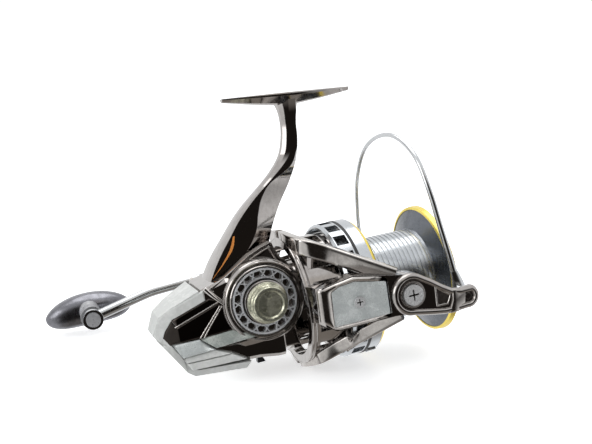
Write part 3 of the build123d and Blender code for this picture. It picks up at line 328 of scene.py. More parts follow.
def finish(name, clean, handled, rough, patch=60.0, grain=0.0, grain_scale=2500.0, metallic=1.0, amount=1.0,
           edge=0.00035):
    """Finish whose colour and roughness go from clean to handled in slow patches, over an optional grain.

    rough is the clean and the handled roughness; patch and grain_scale are in cycles per metre."""
    material, tree, inputs = shader(name)
    mask = effect(tree, HANDLING, Scale=patch, Amount=amount)
    inputs["Metallic"].default_value = metallic
    feed(tree, inputs["Base Color"], blend_colour(tree, mask, clean, handled))
    feed(tree, inputs["Roughness"], blend_value(tree, mask, *rough))
    normal = round_edges(tree, edge) if edge else None
    if grain:
        normal = bump(tree, effect(tree, GRAIN, Scale=grain_scale), grain, normal)
    if normal is not None:
        feed(tree, inputs["Normal"], normal)
    return material


print("the finish recipe is ready")

# %% [markdown]
# ## Plating, anodising and bare metal
# Black chrome is a dark, slightly warm mirror, and the arms carry a lighter coat of it. The gold rings,
# the brass nut, the zinc gear and the ground steel shafts are the same recipe with other colours.

# %% Metals
gunmetal = finish("gunmetal_plating", (0.46, 0.435, 0.415), (0.38, 0.355, 0.34), (0.05, 0.15), 35.0)
arm_chrome = finish("arm_plating", (0.58, 0.55, 0.52), (0.46, 0.43, 0.41), (0.10, 0.22), 45.0)
bright_edge = finish("bright_edge", (0.72, 0.69, 0.66), (0.60, 0.57, 0.54), (0.10, 0.20), 60.0)
knob_pearl = finish("knob_pearl", (0.26, 0.26, 0.285), (0.17, 0.17, 0.185), (0.20, 0.32), 40.0)
black_mirror = finish("black_mirror", (0.10, 0.085, 0.075), (0.07, 0.06, 0.055), (0.04, 0.10), 30.0)
steel = finish("polished_steel", (0.62, 0.63, 0.64), (0.55, 0.56, 0.57), (0.08, 0.20), 80.0)
ground_steel = finish("ground_steel", (0.52, 0.53, 0.55), (0.42, 0.43, 0.45), (0.22, 0.40), 150.0, 3e-6)
dark_grey = finish("dark_grey_anodising", (0.17, 0.18, 0.20), (0.12, 0.13, 0.145), (0.20, 0.34), 70.0, 2e-6)
gold = finish("gold_anodising", (0.93, 0.74, 0.17), (0.86, 0.66, 0.14), (0.22, 0.36), 90.0, 2e-6)
brass = finish("machined_brass", (0.78, 0.60, 0.28), (0.62, 0.46, 0.20), (0.20, 0.38), 120.0)
zinc = finish("cast_zinc", (0.50, 0.50, 0.50), (0.36, 0.36, 0.37), (0.35, 0.55), 120.0, 1.5e-5, 1500.0)
print("metals run from", black_mirror.name, "to", bright_edge.name)

# %% [markdown]
# ## Pale castings
# The tail guard, the arm covers and the screws are satin: part of their light is scattered, so they stay
# pale even where the room in front of them is dark. A finish between metal and paint does that in one
# shader.


# %% Pale castings
def pale(name, clean, stained, patch, metallic, rough):
    """Satin finish, part metal and part paint, over a soft grain."""
    return finish(name, clean, stained, (rough, rough + 0.15), patch, 1.2e-5, 900.0, metallic, amount=1.6,
                  edge=0.0003)


white_satin = pale("white_satin", (0.62, 0.625, 0.61), (0.52, 0.53, 0.515), 45.0, 0.30, 0.32)
mottled = pale("mottled_silver", (0.66, 0.69, 0.68), (0.46, 0.49, 0.485), 110.0, 0.40, 0.22)
mottled_grey = pale("mottled_grey", (0.50, 0.53, 0.50), (0.30, 0.33, 0.31), 160.0, 0.40, 0.26)
filigree_silver = pale("filigree_silver", (0.84, 0.85, 0.86), (0.60, 0.61, 0.63), 160.0, 0.55, 0.16)
screw_steel = pale("screw_steel", (0.66, 0.66, 0.66), (0.52, 0.52, 0.52), 120.0, 0.50, 0.16)
cap_tint = pale("cap_tint", (0.58, 0.57, 0.45), (0.26, 0.26, 0.20), 240.0, 0.80, 0.12)
pale_grey = pale("pale_grey", (0.42, 0.42, 0.43), (0.32, 0.32, 0.33), 80.0, 0.45, 0.26)
orange = pale("orange_accent", (0.90, 0.36, 0.09), (0.75, 0.27, 0.06), 200.0, 0.30, 0.22)
print("pale castings run from", white_satin.name, "to", pale_grey.name)

# %% [markdown]
# ## Lathe-turned silver
# The spool is turned on a lathe, and its anodising keeps the tool's fine rings. They lie square to the
# spool's axis, so a sine of the X coordinate draws them without any unwrapping.


# %% Turned silver
def turned_silver(spacing=0.0006):
    """Anodised silver whose height is the sine of 2 pi x / spacing, with patches like the other finishes."""
    material, tree, inputs = shader("turned_silver")
    split = tree.nodes.new("ShaderNodeSeparateXYZ")
    feed(tree, split.inputs[0], tree.nodes.new("ShaderNodeTexCoord").outputs["Object"])
    rings = math_node(tree, "SINE", math_node(tree, "MULTIPLY", split.outputs["X"], 2 * np.pi / spacing))
    mask = effect(tree, HANDLING, Scale=70.0, Amount=0.5)
    inputs["Metallic"].default_value = 1.0
    feed(tree, inputs["Base Color"], blend_colour(tree, mask, (0.56, 0.58, 0.60), (0.48, 0.50, 0.52)))
    feed(tree, inputs["Roughness"], blend_value(tree, mask, 0.17, 0.24))
    feed(tree, inputs["Normal"], bump(tree, rings, 2e-6, round_edges(tree, 0.0003), strength=0.4))
    return material


silver = turned_silver()
print(silver.name, "has a ring every 0.6 mm")

# %% [markdown]
# ## Rubber, plastic and felt
# The seal, the plastic parts and the drag's felt washers aren't metal, so they keep the recipe's patches
# and grain but scatter all their light. The floor is a matt white that glows a little, to melt into the
# backdrop.


# %% Rubber, plastic, felt and floor
def plain(name, colour, worn, rough, grain, grain_scale):
    """Finish with no metal in it and no softened edges."""
    return finish(name, colour, worn, rough, 80.0, grain, grain_scale, metallic=0.0, edge=0.0)


rubber = plain("black_rubber", (0.02, 0.02, 0.02), (0.035, 0.035, 0.035), (0.50, 0.70), 2e-5, 2600.0)
black_gloss = plain("gloss_black", (0.018, 0.018, 0.020), (0.030, 0.030, 0.032), (0.10, 0.26), 2e-6, 1500.0)
carbon = plain("carbon_felt", (0.045, 0.045, 0.05), (0.09, 0.09, 0.095), (0.55, 0.8), 4e-5, 3200.0)
floor_white = plain("floor_white", (0.93, 0.94, 0.955), (0.92, 0.93, 0.95), (0.55, 0.65), 1e-6, 300.0)
floor_inputs = floor_white.node_tree.nodes["Principled BSDF"].inputs
floor_inputs["Emission Color"].default_value = (1.0, 1.0, 1.0, 1)
floor_inputs["Emission Strength"].default_value = 0.55
floor.data.materials.append(floor_white)
print("finishes in all:", len(bpy.data.materials))

# %% [markdown]
# ## Surfaces from grids
# Castings like these are often modelled by pushing a box about. Here each is a grid of points worked out
# as whole arrays, so that every line of its shape is a number that can be read and changed. A grid is a
# row of rings. Lengths in the cells below are millimetres, and `surface` turns them into metres.

# %% From a grid to a piece
SIDES = ((-1, "right"), (1, "left"))


def surface(name, rings, body, coat, closed=True, ends=(True, True), sharp=30.0):
    """Piece over a grid of points, ring i and point j, in one coat. Neighbouring rings are joined by quads.

    closed joins a ring's last point to its first, and ends says which of the end rings get a cap. Edges that
    bend by more than sharp degrees stay sharp."""
    rings = np.asarray(rings, float)
    count, around = rings.shape[:2]
    index = np.arange(count * around).reshape(count, around)
    here, beside = (index, np.roll(index, -1, axis=1)) if closed else (index[:, :-1], index[:, 1:])
    quads = np.stack([here[:-1], beside[:-1], beside[1:], here[1:]], axis=-1).reshape(-1, 4)
    faces = quads.tolist() + [index[end].tolist() for end, wanted in zip((0, -1), ends) if wanted]
    mesh = bpy.data.meshes.new(name)
    mesh.from_pydata((rings.reshape(-1, 3) * MM).tolist(), [], faces)
    shell = bmesh.new()
    shell.from_mesh(mesh)
    bmesh.ops.remove_doubles(shell, verts=shell.verts, dist=1e-6)
    bmesh.ops.recalc_face_normals(shell, faces=shell.faces)
    shell.to_mesh(mesh)
    shell.free()
    mesh.shade_smooth()
    mesh.set_sharp_from_angle(angle=np.radians(sharp))
    piece = bpy.data.objects.new(name, mesh)
    bpy.context.scene.collection.objects.link(piece)
    mesh.materials.append(coat)
    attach(piece, body)
    return piece


def measure(*pieces):
    """Size of some pieces together along X, Y and Z, and how many faces they have."""
    points = np.array([tuple(point.co) for piece in pieces for point in piece.data.vertices])
    size = " x ".join(f"{span / MM:.1f}" for span in np.ptp(points, axis=0))
    return f"{size} mm, {sum(len(piece.data.polygons) for piece in pieces)} faces"


print("grids are ready, with sides", [tag for _, tag in SIDES])

# %% [markdown]
# ## Stem
# The stem is an S-shaped blade. Its section has a rounded back, a crease where the back meets the side, a
# flat side and a front that thins to an edge. The crease starts at the back and wanders to the middle
# higher up. So the section's corners are smooth lines over the height, which keeps the blade's
# reflections long and even.


# %% Stem
def smooth(knots, values, at):
    """Smooth curve through (knots, values): cubic Hermite pieces whose slopes are the central differences."""
    knots, values = np.asarray(knots, float), np.asarray(values, float)
    slopes = np.gradient(values, knots)
    piece = np.clip(np.searchsorted(knots, at, side="right") - 1, 0, len(knots) - 2)
    step = knots[piece + 1] - knots[piece]
    t = (np.clip(at, knots[0], knots[-1]) - knots[piece]) / step
    start = (1 + 2 * t) * (1 - t) ** 2 * values[piece] + t * (1 - t) ** 2 * step * slopes[piece]
    return start + t * t * (3 - 2 * t) * values[piece + 1] + t * t * (t - 1) * step * slopes[piece + 1]


stem_z = np.linspace(13, 122.3, 110)
rear_x = smooth([13, 16.5, 33.6, 48.1, 60.3, 70.1, 79.0, 87.3, 97.5, 107.0, 117.0, 122.4],
                [-33.0, -31.3, -21.5, -10.3, 0.5, 12.2, 22.6, 29.6, 33.4, 34.6, 33.6, 31.0], stem_z)
front_x = smooth([12, 30, 44.5, 58.4, 72, 85, 96, 107, 116, 122.4],
                 [9.0, 12.0, 17.2, 24.6, 34.0, 40.9, 43.6, 44.6, 46.6, 49.8], stem_z)
crease_x = smooth([13, 22.7, 36.8, 46.1, 55.1, 66.0, 76.7, 82.8, 87.1, 98.3, 110.0, 122.4],
                  [-32.0, -27.6, -18.4, -10.6, -2.9, 9.0, 23.2, 30.8, 34.9, 38.6, 39.4, 39.6], stem_z)
blade_x = smooth([13, 24, 30, 38.9, 47.7, 56.5, 65.8, 73.1, 80, 90, 122.4],
                 [-30.0, -20.0, -10.0, 0.0, 6.4, 9.3, 13.6, 20.3, 33.5, 40.6, 44.5], stem_z)
half_width = smooth([5, 34, 50, 72, 98, 112, 123], [12.6, 11.0, 8.9, 6.3, 4.75, 5.2, 8.8], stem_z)
crease_x = np.maximum(crease_x, rear_x + 0.7)
blade_x = np.clip(blade_x, crease_x + 0.6, front_x - 1.4)
edge_line = 0 * half_width
stem_section = [(rear_x, edge_line), (rear_x + 0.25, 0.42 * half_width),
                (rear_x + 0.45 * (crease_x - rear_x), 0.80 * half_width), (crease_x, half_width),
                (blade_x, half_width), (front_x - 0.5, 0.30 * half_width + 0.5), (front_x, edge_line)]
stem_outline = [(x, -y) for x, y in stem_section] + stem_section[-2:0:-1]
stem_rings = np.stack([np.stack([x, y, stem_z], axis=-1) for x, y in stem_outline], axis=1)
stem = surface("stem", stem_rings, "body", gunmetal, sharp=14.0)
print("stem:", measure(stem))

# %% [markdown]
# ## Foot
# The foot is the long plate that the rod's seat grips. It is thick over the stem and thins to both ends,
# its plan is a slim leaf, and it leans a few degrees. One section, scaled in width and depth, makes all
# of it.

# %% Foot
foot_middle, foot_top, foot_tilt = 41.0, 124.3, np.radians(3.0)
along = np.linspace(-40, 40, 61)
foot_half = smooth([-40, -22, -4.8, 4.8, 22, 40], [2.6, 6.84, 9.5, 9.5, 6.84, 2.6], along)
foot_thick = smooth([-40, -14, 0, 14, 40], [2.2, 6.0, 7.2, 6.0, 2.2], along)
foot_section = [(-0.97, 0.0), (0.97, 0.0), (1.0, 0.12), (0.98, 0.30), (0.62, 0.88), (0.40, 1.0), (-0.40, 1.0),
                (-0.62, 0.88), (-0.98, 0.30), (-1.0, 0.12)]
foot_rings = np.stack([
    np.stack([foot_middle + along * np.cos(foot_tilt) - foot_thick * down * np.sin(foot_tilt),
              foot_half * across,
              foot_top - along * np.sin(foot_tilt) - foot_thick * down * np.cos(foot_tilt)], axis=-1)
    for across, down in foot_section], axis=1)
foot = surface("foot", foot_rings, "body", gunmetal, sharp=20.0)
print("foot:", measure(foot))

# %% [markdown]
# ## Gearbox, cover and neck
# The gearbox is a drum round the crank, closed by a cover with fine rolled rings, and the neck carries
# the rotor's bearing. All three come off a lathe on the real reel, so each is a profile turned about its
# axis.


# %% Gearbox, cover and neck
def circle(count):
    """Unit circle: the cosines and the sines of count even steps."""
    angle = np.linspace(0, 2 * np.pi, count, endpoint=False)
    return np.cos(angle), np.sin(angle)


def turned(profile, axis, centre, steps=96):
    """Profile of (place along the axis, radius) points turned about an axis: centre + radius x (cos, sin)."""
    along, radius = np.asarray(profile, float).T
    first, second = (radius[:, None] * part for part in circle(steps))
    place_along = np.repeat(along[:, None], steps, axis=1)
    columns = {"x": (place_along, centre[0] + first, centre[1] + second),
               "y": (centre[0] + first, place_along, centre[1] + second)}[axis]
    return np.stack(columns, axis=-1)


crank_z = 8.7
gearbox_profile = [(-17.5, 24.0), (-16.8, 24.4), (21.0, 24.4), (21.7, 24.1), (22.0, 23.4), (22.0, 21.6),
                   (21.4, 21.0), (21.4, 19.6), (22.0, 19.0), (22.0, 12.4), (26.4, 11.6), (27.0, 11.0),
                   (27.0, 5.7), (19.0, 5.7)]
gearbox = surface("gearbox", turned(gearbox_profile, "y", (0, crank_z)), "body", gunmetal,
                  ends=(True, False))
cover_profile = [(-28.3, 5.7), (-28.6, 6.2), (-28.6, 12.0), (-28.2, 12.7), (-22.4, 12.9), (-22.4, 19.3),
                 (-24.0, 19.3), (-24.9, 19.7), (-25.0, 20.3), (-24.4, 20.9), (-23.7, 21.2), (-23.7, 21.9),
                 (-24.4, 22.2), (-24.6, 22.8), (-24.1, 23.4), (-23.2, 23.6), (-22.6, 24.0), (-22.5, 24.4),
                 (-17.0, 24.4)]
cover = surface("cover", turned(cover_profile, "y", (0, crank_z), 128), "body", gunmetal,
                ends=(False, True))
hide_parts("side_cover")

neck_profile = [(2.0, 28.0), (2.5, 28.5), (18.9, 28.5), (19.5, 27.9), (19.5, 24.6), (26.0, 24.6),
                (26.5, 24.1), (26.5, 15.5), (44.6, 15.5), (45.0, 15.1), (45.0, 12.7), (38.0, 12.7)]
neck_rings = turned(neck_profile, "x", (0, 0), 120)
neck_rings[..., 1] = np.clip(neck_rings[..., 1], -17.0, 22.0)
neck = surface("neck", neck_rings, "body", gunmetal, ends=(True, False))
print("gearbox, cover and neck:", measure(gearbox, cover, neck))

# %% [markdown]
# ## Tail
# Behind the gearbox the casting narrows to a wedge. Its width comes from a plan line, its top and bottom
# from two profile lines, and its edges are chamfered. The handle side is flat and less deep.


# %% Tail
def plan_right(x):
    """Half width of the body at x on the cover's side, from the narrow tail to the full gearbox."""
    return np.interp(x, [-70, -64, -50, -28, -10, 30], [7.0, 9.5, 15.5, 20.5, 23.6, 23.6])


def plan_left(x):
    """The same on the handle's side, cut off flat."""
    return np.minimum(plan_right(x), 21.9)


tail_x = np.unique([*np.linspace(-60.7, 8, 60), -57.2, -52, -50, -47.6, -44, -36, -34, -28, -20, -10])
tail_high = np.interp(tail_x, [-60.8, -57.2, -52, -36, -34, -20, 8],
                      [0.8, 8.0, 11.6, 18.4, 22.0, 26.0, 20.0])
tail_low = np.interp(tail_x, [-60.8, -47.6, -44, -8, 4, 8], [0.4, -20.6, -23.2, -23.9, -26.0, -26.0])
chamfer = np.minimum(2.2, (tail_high - tail_low) * 0.3)
right, left = 0.4 - plan_right(tail_x), plan_left(tail_x)
tail_corners = [(right, tail_low + chamfer), (right, tail_high - chamfer), (right + chamfer, tail_high),
                (left - chamfer, tail_high), (left, tail_high - chamfer), (left, tail_low + chamfer),
                (left - chamfer, tail_low), (right + chamfer, tail_low)]
tail_rings = np.stack([np.stack([tail_x, y, z], axis=-1) for y, z in tail_corners], axis=1)
tail = surface("tail", tail_rings, "body", gunmetal, sharp=12.0)
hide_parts("main_body")
print("tail:", measure(tail))

# %% [markdown]
# ## Panels on the tail and faces of the guard
# The tail's sides carry black mirror panels, a mottled ledge and a grey one, and the white guard wraps
# its end in flat faces. Each is a thin raised panel between an upper and a lower line, laid on the plan
# of the tail. Its border rises smoothly, so that it catches a thin line of light.


# %% Panels and guard faces
def panel(upper, lower, face, rise, side, lean, edge):
    """Raised panel between an upper and a lower line of (x, z) points, over x and over v from low to high.

    It stands out by rise x smoothstep(distance from its border / edge), and by lean more at its lower
    line."""
    upper, lower = np.asarray(upper, float), np.asarray(lower, float)
    x = np.unique(np.concatenate([upper[:, 0], lower[:, 0], np.linspace(upper[0, 0], upper[-1, 0], 40)]))
    v = np.concatenate([[0, 0.02, 0.05], np.linspace(0.1, 0.9, 9), [0.95, 0.98, 1]])
    low, high = np.interp(x, *lower.T)[:, None], np.interp(x, *upper.T)[:, None]
    z = low + (high - low) * v
    margin = np.minimum(np.minimum(z - low, high - z), np.minimum(x - x[0], x[-1] - x)[:, None])
    t = np.clip(margin / edge, 0, 1)
    out = face(x)[:, None] + rise * t * t * (3 - 2 * t) + lean * (1 - v)
    return np.stack([np.repeat(x[:, None], len(v), axis=1), side * out, z], axis=-1)


# name: upper line, lower line, rise, lean, finish, slot
tail_panels = {
    "upper_panel": ([(-53.1, 7.9), (-30.9, 16.5), (-25.5, 14.4)], [(-53.1, 7.9), (-51.1, 3.9), (-25.5, 14.0)],
                    0.5, 0.0, black_mirror, "gunmetal"),
    "rear_panel": ([(-60.6, -4.9), (-57.9, 1.6), (-53.6, 7.2), (-51.3, 3.2), (-26.1, 13.1)],
                   [(-60.6, -5.1), (-55.9, -6.3), (-39.6, -5.1), (-26.1, 10.8)],
                   0.5, 0.0, black_mirror, "gunmetal"),
    "front_panel": ([(-37.3, -5.1), (-25.4, 10.6), (-18.0, 9.0)], [(-37.3, -5.3), (-18.0, -3.7)],
                    0.5, 0.0, black_mirror, "gunmetal"),
    "silver_ledge": ([(-55.3, -6.5), (-40.0, -5.8), (-32.7, -12.3)],
                     [(-55.3, -6.6), (-51.1, -14.2), (-32.7, -12.5)],
                     0.5, 3.0, mottled, "satin_alloy"),
    "grey_ledge": ([(-39.3, -5.7), (-18.2, -3.7), (-9.4, -9.6)],
                   [(-39.3, -5.9), (-32.0, -12.0), (-9.4, -9.8)],
                   0.5, 2.4, mottled_grey, "gunmetal"),
    "lower_side": ([(-30.8, -12.3), (9.6, -9.6)],
                   [(-30.8, -12.6), (-18.5, -16.7), (-15.4, -21.6), (9.6, -21.8)],
                   0.9, -3.6, gunmetal, "gunmetal"),
}
guard_faces = {
    "guard_ledge": ([(-51.1, -14.1), (-33.4, -12.6), (-23.7, -16.5)],
                    [(-51.1, -14.4), (-49.8, -17.8), (-23.7, -16.9)],
                    1.4, 2.0, white_satin, "satin_alloy"),
    "guard_shoulder": ([(-64.4, 0.4), (-60.0, 10.2), (-52.7, 14.7), (-33.0, 22.0)],
                       [(-64.4, 0.2), (-60.9, -5.0), (-57.9, 1.8), (-53.1, 8.2), (-33.0, 15.9)],
                       1.1, 0.0, white_satin, "satin_alloy"),
    "guard_heel": ([(-63.2, -2.2), (-60.8, -5.1), (-55.6, -6.5), (-51.1, -14.3), (-49.9, -17.8)],
                   [(-63.2, -2.4), (-50.6, -22.5), (-49.9, -22.5)],
                   1.1, 1.2, white_satin, "satin_alloy"),
    "guard_side": ([(-49.8, -17.7), (-23.7, -16.8), (-15.4, -21.9)],
                   [(-49.8, -18.0), (-47.0, -23.0), (-15.4, -22.1)],
                   3.0, -1.2, white_satin, "satin_alloy"),
}
FLANKS = ((-1, plan_right, "right"), (1, plan_left, "left"))
for panels, border in ((tail_panels, 0.5), (guard_faces, 0.4)):
    made = [surface(f"{name}_{tag}", panel(upper, lower, face, rise, side, lean, border), "body", coat,
                    closed=False, ends=(False, False), sharp=50.0)
            for name, (upper, lower, rise, lean, coat, slot) in panels.items() for side, face, tag in FLANKS]
    print(len(made), "panels:", measure(*made))

# %% [markdown]
# ## Ribs
# Thin bright ribs part the black panels and run up to the gearbox. Each is a round bar carried along a
# smooth line that lies on the tail's side. One of them thins from its corner to its tip.


# %% Ribs
def line_through(points, count):
    """Evenly spread points on a smooth line through the given ones."""
    points = np.asarray(points, float)
    travel = np.concatenate([[0], np.cumsum(np.linalg.norm(np.diff(points, axis=0), axis=1))])
    at = np.linspace(0, travel[-1], count)
    return np.stack([smooth(travel, column, at) for column in points.T], axis=-1)


def carried(path, section, wide, high, guide=(0.0, 1.0, 0.0)):
    """Section carried along a path: point + wide x first x across + high x second x over.

    across is square to the path and to the guide, over is square to the path and to across, and
    (first, second) runs round the section."""
    ahead = np.gradient(path, axis=0)
    ahead /= np.linalg.norm(ahead, axis=1)[:, None]
    across = np.cross(ahead, guide)
    across /= np.linalg.norm(across, axis=1)[:, None]
    over = np.cross(ahead, across)
    wide, high = (np.broadcast_to(size, len(path))[:, None, None] for size in (wide, high))
    first, second = (part[None, :, None] for part in section)
    return path[:, None] + wide * first * across[:, None] + high * second * over[:, None]


# name: line of (x, z) points, radius at each even step along it
ribs = {
    "rib_upper": ([(-52.2, 3.4), (-38.0, 9.0), (-25.0, 14.2)], [0.45]),
    "rib_middle": ([(-39.5, -5.2), (-33.0, 2.6), (-25.6, 11.4)], [0.45]),
    "rib_front": ([(-37.2, -5.2), (-31.0, 3.0), (-24.6, 10.9)], [0.40]),
    "rib_corner": ([(-32.4, 22.6), (-29.4, 18.6), (-26.4, 15.0), (-21.5, 9.6)], [1.5, 1.3, 0.7, 0.5]),
    "rib_cover": ([(-29.8, 20.6), (-26.0, 16.2), (-22.4, 12.2)], [0.5]),
}
rib_steps, rib_sink = 24, 0.35
made = []
for name, (line, radii) in ribs.items():
    for side, face, tag in FLANKS:
        x, z = line_through(line, rib_steps).T
        spine = np.stack([x, side * (face(x) + rib_sink), z], axis=-1)
        radius = np.interp(np.linspace(0, 1, rib_steps), np.linspace(0, 1, len(radii)), radii)
        made.append(surface(f"{name}_{tag}", carried(spine, circle(10), radius, radius), "body",
                            bright_edge, sharp=60.0))
print(len(made), "ribs:", measure(*made))

# %% [markdown]
# ## Shoulders
# Where the stem grows out of the gearbox, a shoulder steps out on each side, edged with two rolled
# ridges. It is a plate: an outline drawn inwards step by step, with a height at each step.


# %% Shoulders
def rounded(points, radius, steps=5):
    """Closed outline with softened corners.

    Each corner is a parabola between two points of its edges, at most radius away from it."""
    corner = np.asarray(points, float)
    t = np.linspace(0, 1, steps)[None, :, None]
    start, stop = (corner + reach * np.minimum(radius / np.linalg.norm(reach, axis=1), 0.45)[:, None]
                   for reach in (np.roll(corner, 1, axis=0) - corner, np.roll(corner, -1, axis=0) - corner))
    curve = (1 - t) ** 2 * start[:, None] + 2 * t * (1 - t) * corner[:, None] + t * t * stop[:, None]
    return curve.reshape(-1, 2)


def plate(outline, profile, face, side=-1):
    """Plate whose border follows a profile of (inset, height) points all round an (x, z) outline.

    Each ring is the outline moved inwards along its corners' bisectors, at side x (face(x) + height) in y."""
    outline = np.asarray(outline, float)
    ahead = np.roll(outline, -1, axis=0)
    area = np.sum(outline[:, 0] * ahead[:, 1] - ahead[:, 0] * outline[:, 1])
    edge = (ahead - outline) / np.linalg.norm(ahead - outline, axis=1)[:, None]
    inward = np.sign(area) * np.stack([-edge[:, 1], edge[:, 0]], axis=-1)
    before = np.roll(inward, 1, axis=0)
    bisector = (before + inward) / (1 + np.sum(before * inward, axis=1))[:, None]
    inset, height = np.asarray(profile, float).T
    x, z = np.moveaxis(outline + inset[:, None, None] * bisector, -1, 0)
    out = face(x) + np.repeat(height[:, None], len(outline), axis=1)
    return np.stack([x, side * out, z], axis=-1)


shoulder_line = [(-33.4, 20.6), (-29.0, 22.6), (-19.9, 26.4), (-10.4, 31.8), (-2.8, 36.0), (4.6, 38.7),
                 (12.2, 40.6), (13.4, 36.5), (15.8, 31.0), (20.4, 26.2), (20.4, 12.0), (-10.0, 12.0),
                 (-24.0, 13.0)]
ridges = [(0.0, -5.0), (0.0, 0.1), (0.3, 0.8), (0.8, 0.9), (1.2, 0.3), (1.5, -0.2), (2.2, -0.2), (2.5, 0.5),
          (2.9, 0.7), (3.3, 0.3), (3.5, -0.5)]
made = [surface(f"shoulder_{tag}", plate(rounded(shoulder_line, 1.2), ridges,
                                         lambda x: 14.6 + (12.2 - x) * 0.125, side),
                "body", gunmetal, ends=(False, True), sharp=40.0) for side, tag in SIDES]
print("shoulders:", measure(*made))

# %% [markdown]
# ## Streak on the stem
# A narrow orange streak is painted along the blade, widest near its middle. A strip of five lines laid
# just off the stem's side keeps its edges crisp from any distance, which a painted mask would not.

# %% Streak
streak_line = line_through([(-25.2, 25.4), (-16.4, 33.6), (-10.0, 41.4), (-7.8, 47.0)], 40)
streak_half = 0.15 + 0.75 * np.sin(np.linspace(0, 1, 40) ** 1.6 * np.pi * 0.86)
streak_y = -np.interp(streak_line[:, 1], stem_z, half_width) - 0.06
streak_rings = np.stack([np.stack([streak_line[:, 0] + k * streak_half, streak_y, streak_line[:, 1]], axis=-1)
                         for k in (-1.0, -0.5, 0.0, 0.5, 1.0)], axis=1)
streak = surface("stem_accent", streak_rings, "body", orange, closed=False, ends=(False, False))
print("streak:", measure(streak))

# %% [markdown]
# ## Frames round the arm covers
# Each rotor arm holds a satin cover in a raised, rounded frame. Frame and opening have different
# outlines, so both are seen from one point inside, direction by direction, and the frame is blended
# between the two. It runs flat towards the bail, which swings close over it.


# %% Arm frames
def polar(outline, centre, count=160):
    """Outline seen from a point inside it: for each of count directions, the nearest edge that is crossed.

    A ray centre + s d meets the edge p + t e where s = (p - centre) x e / d x e and 0 <= t <= 1."""
    outline = np.asarray(outline, float) - centre
    edge = np.roll(outline, -1, axis=0) - outline
    ray = np.stack(circle(count), axis=-1)
    cross = ray[:, None, 0] * edge[None, :, 1] - ray[:, None, 1] * edge[None, :, 0]
    cross = np.where(np.abs(cross) < 1e-9, 1e-9, cross)
    s = (outline[:, 0] * edge[:, 1] - outline[:, 1] * edge[:, 0])[None] / cross
    t = (outline[None, :, 0] * ray[:, None, 1] - outline[None, :, 1] * ray[:, None, 0]) / cross
    s = np.where((s > 0) & (t > -1e-6) & (t < 1 + 1e-6), s, np.inf).min(axis=1)
    return centre + ray * s[:, None]


arm_face = 55.0
arm_centre = np.array([45.0, 2.0])
arm_outer = polar(rounded([(21.8, -4.6), (30, -10.4), (64.0, -10.4), (64.4, 13.7), (57.0, 15.4), (44, 18.0),
                           (22.4, 14.7)], 2.0), arm_centre)
arm_inner = polar([(29.0, -8.0), (63.0, -8.0), (63.0, 10.8), (44.0, 14.6), (35.0, 13.8), (30.0, 11.4)],
                  arm_centre)
# share of the way from the outer outline to the inner one, height
frame_profile = [(0.0, -3.0), (0.0, -1.2), (0.08, -0.4), (0.25, 0.5), (0.5, 0.9), (0.75, 0.6), (0.94, 0.0),
                 (1.0, -0.6)]
made = []
for side, tag in SIDES:
    rings = []
    for share, rise in frame_profile:
        loop = arm_outer * (1 - share) + arm_inner * share
        height = np.minimum(rise, np.interp(loop[:, 0], [54.0, 60.0], [0.9, 0.0]))
        rings.append(np.insert(loop, 1, side * (arm_face + height), axis=1))
    made.append(surface(f"arm_frame_{tag}", rings, "rotor", arm_chrome, ends=(False, False),
                        sharp=45.0))
print("arm frames:", measure(*made))

# %% [markdown]
# ## Struts and rim
# Two struts reach from the rotor's rim to each arm's tip, above and below. They are squared bars along a
# curved line, and they are pushed outwards where they would come too near to the spool inside them. Two
# rolled lines run round the rim.


# %% Struts and rim
def squared(count, first, second):
    """Squared circle: cosine and sine with their signs kept and their sizes raised to two powers."""
    cosine, sine = circle(count)
    return np.sign(cosine) * np.abs(cosine) ** first, np.sign(sine) * np.abs(sine) ** second


# name: line of points, half width, half height
struts = {
    "upper": ([(22.6, -2.0, 38.6), (23.6, -13.0, 37.6), (26.5, -24.5, 35.6), (40.0, -31.8, 28.8),
               (55.0, -41.2, 20.4), (71.0, -51.2, 11.4)], 3.1, 4.9),
    "lower": ([(22.8, -2.0, -38.0), (24.4, -12.0, -36.0), (27.5, -20.5, -33.4), (40.0, -29.0, -27.0),
               (55.0, -40.2, -19.0), (71.0, -51.2, -10.6)], 3.1, 3.9),
}
spool_front_x, spool_room, rim_x = 43.0, 43.5, 21.1
made = []
for name, (points, half_wide, half_high) in struts.items():
    for side, tag in SIDES:
        spine = line_through(np.asarray(points) * (1, -side, 1), 60)
        # the guide points up, so the height's sign is turned to keep the rings' sense
        bar = carried(spine, squared(40, 0.35, 0.35), half_wide, -half_high, (0.0, 0.0, 1.0))
        out = np.hypot(bar[..., 1], bar[..., 2])
        least = np.where(bar[..., 0] > spool_front_x, spool_room, 0.0)
        bar[..., 1:] *= (np.maximum(out, least) / out)[..., None]
        bar[..., 0] = np.maximum(bar[..., 0], rim_x)
        made.append(surface(f"strut_{name}_{tag}", bar, "rotor", arm_chrome, sharp=38.0))
rim_profile = [(20.9, 38.6), (21.0, 39.2), (21.6, 39.5), (22.2, 39.2), (22.4, 38.7), (22.9, 38.7),
               (23.1, 39.3), (23.7, 39.5), (24.3, 39.2), (24.5, 38.5)]
rim = surface("rotor_rim_lines", turned(rim_profile, "x", (0, 0), 160), "rotor", gunmetal,
              ends=(False, False))
print("struts and rim:", measure(*made, rim))

# %% [markdown]
# ## Bail lever
# The lever carries the line roller on its tip and turns on the pivot screw. It is a drop between two
# arcs, with a rolled rim round a sunk middle, a small step in the middle and a raised tip that slopes
# away.


# %% Bail lever
def arc(centre, radius, start, stop, count):
    """Points on an arc: centre + radius x (cos, sin), from start to stop degrees."""
    angle = np.radians(np.linspace(start, stop, count))
    return np.asarray(centre) + radius * np.stack([np.cos(angle), np.sin(angle)], axis=-1)


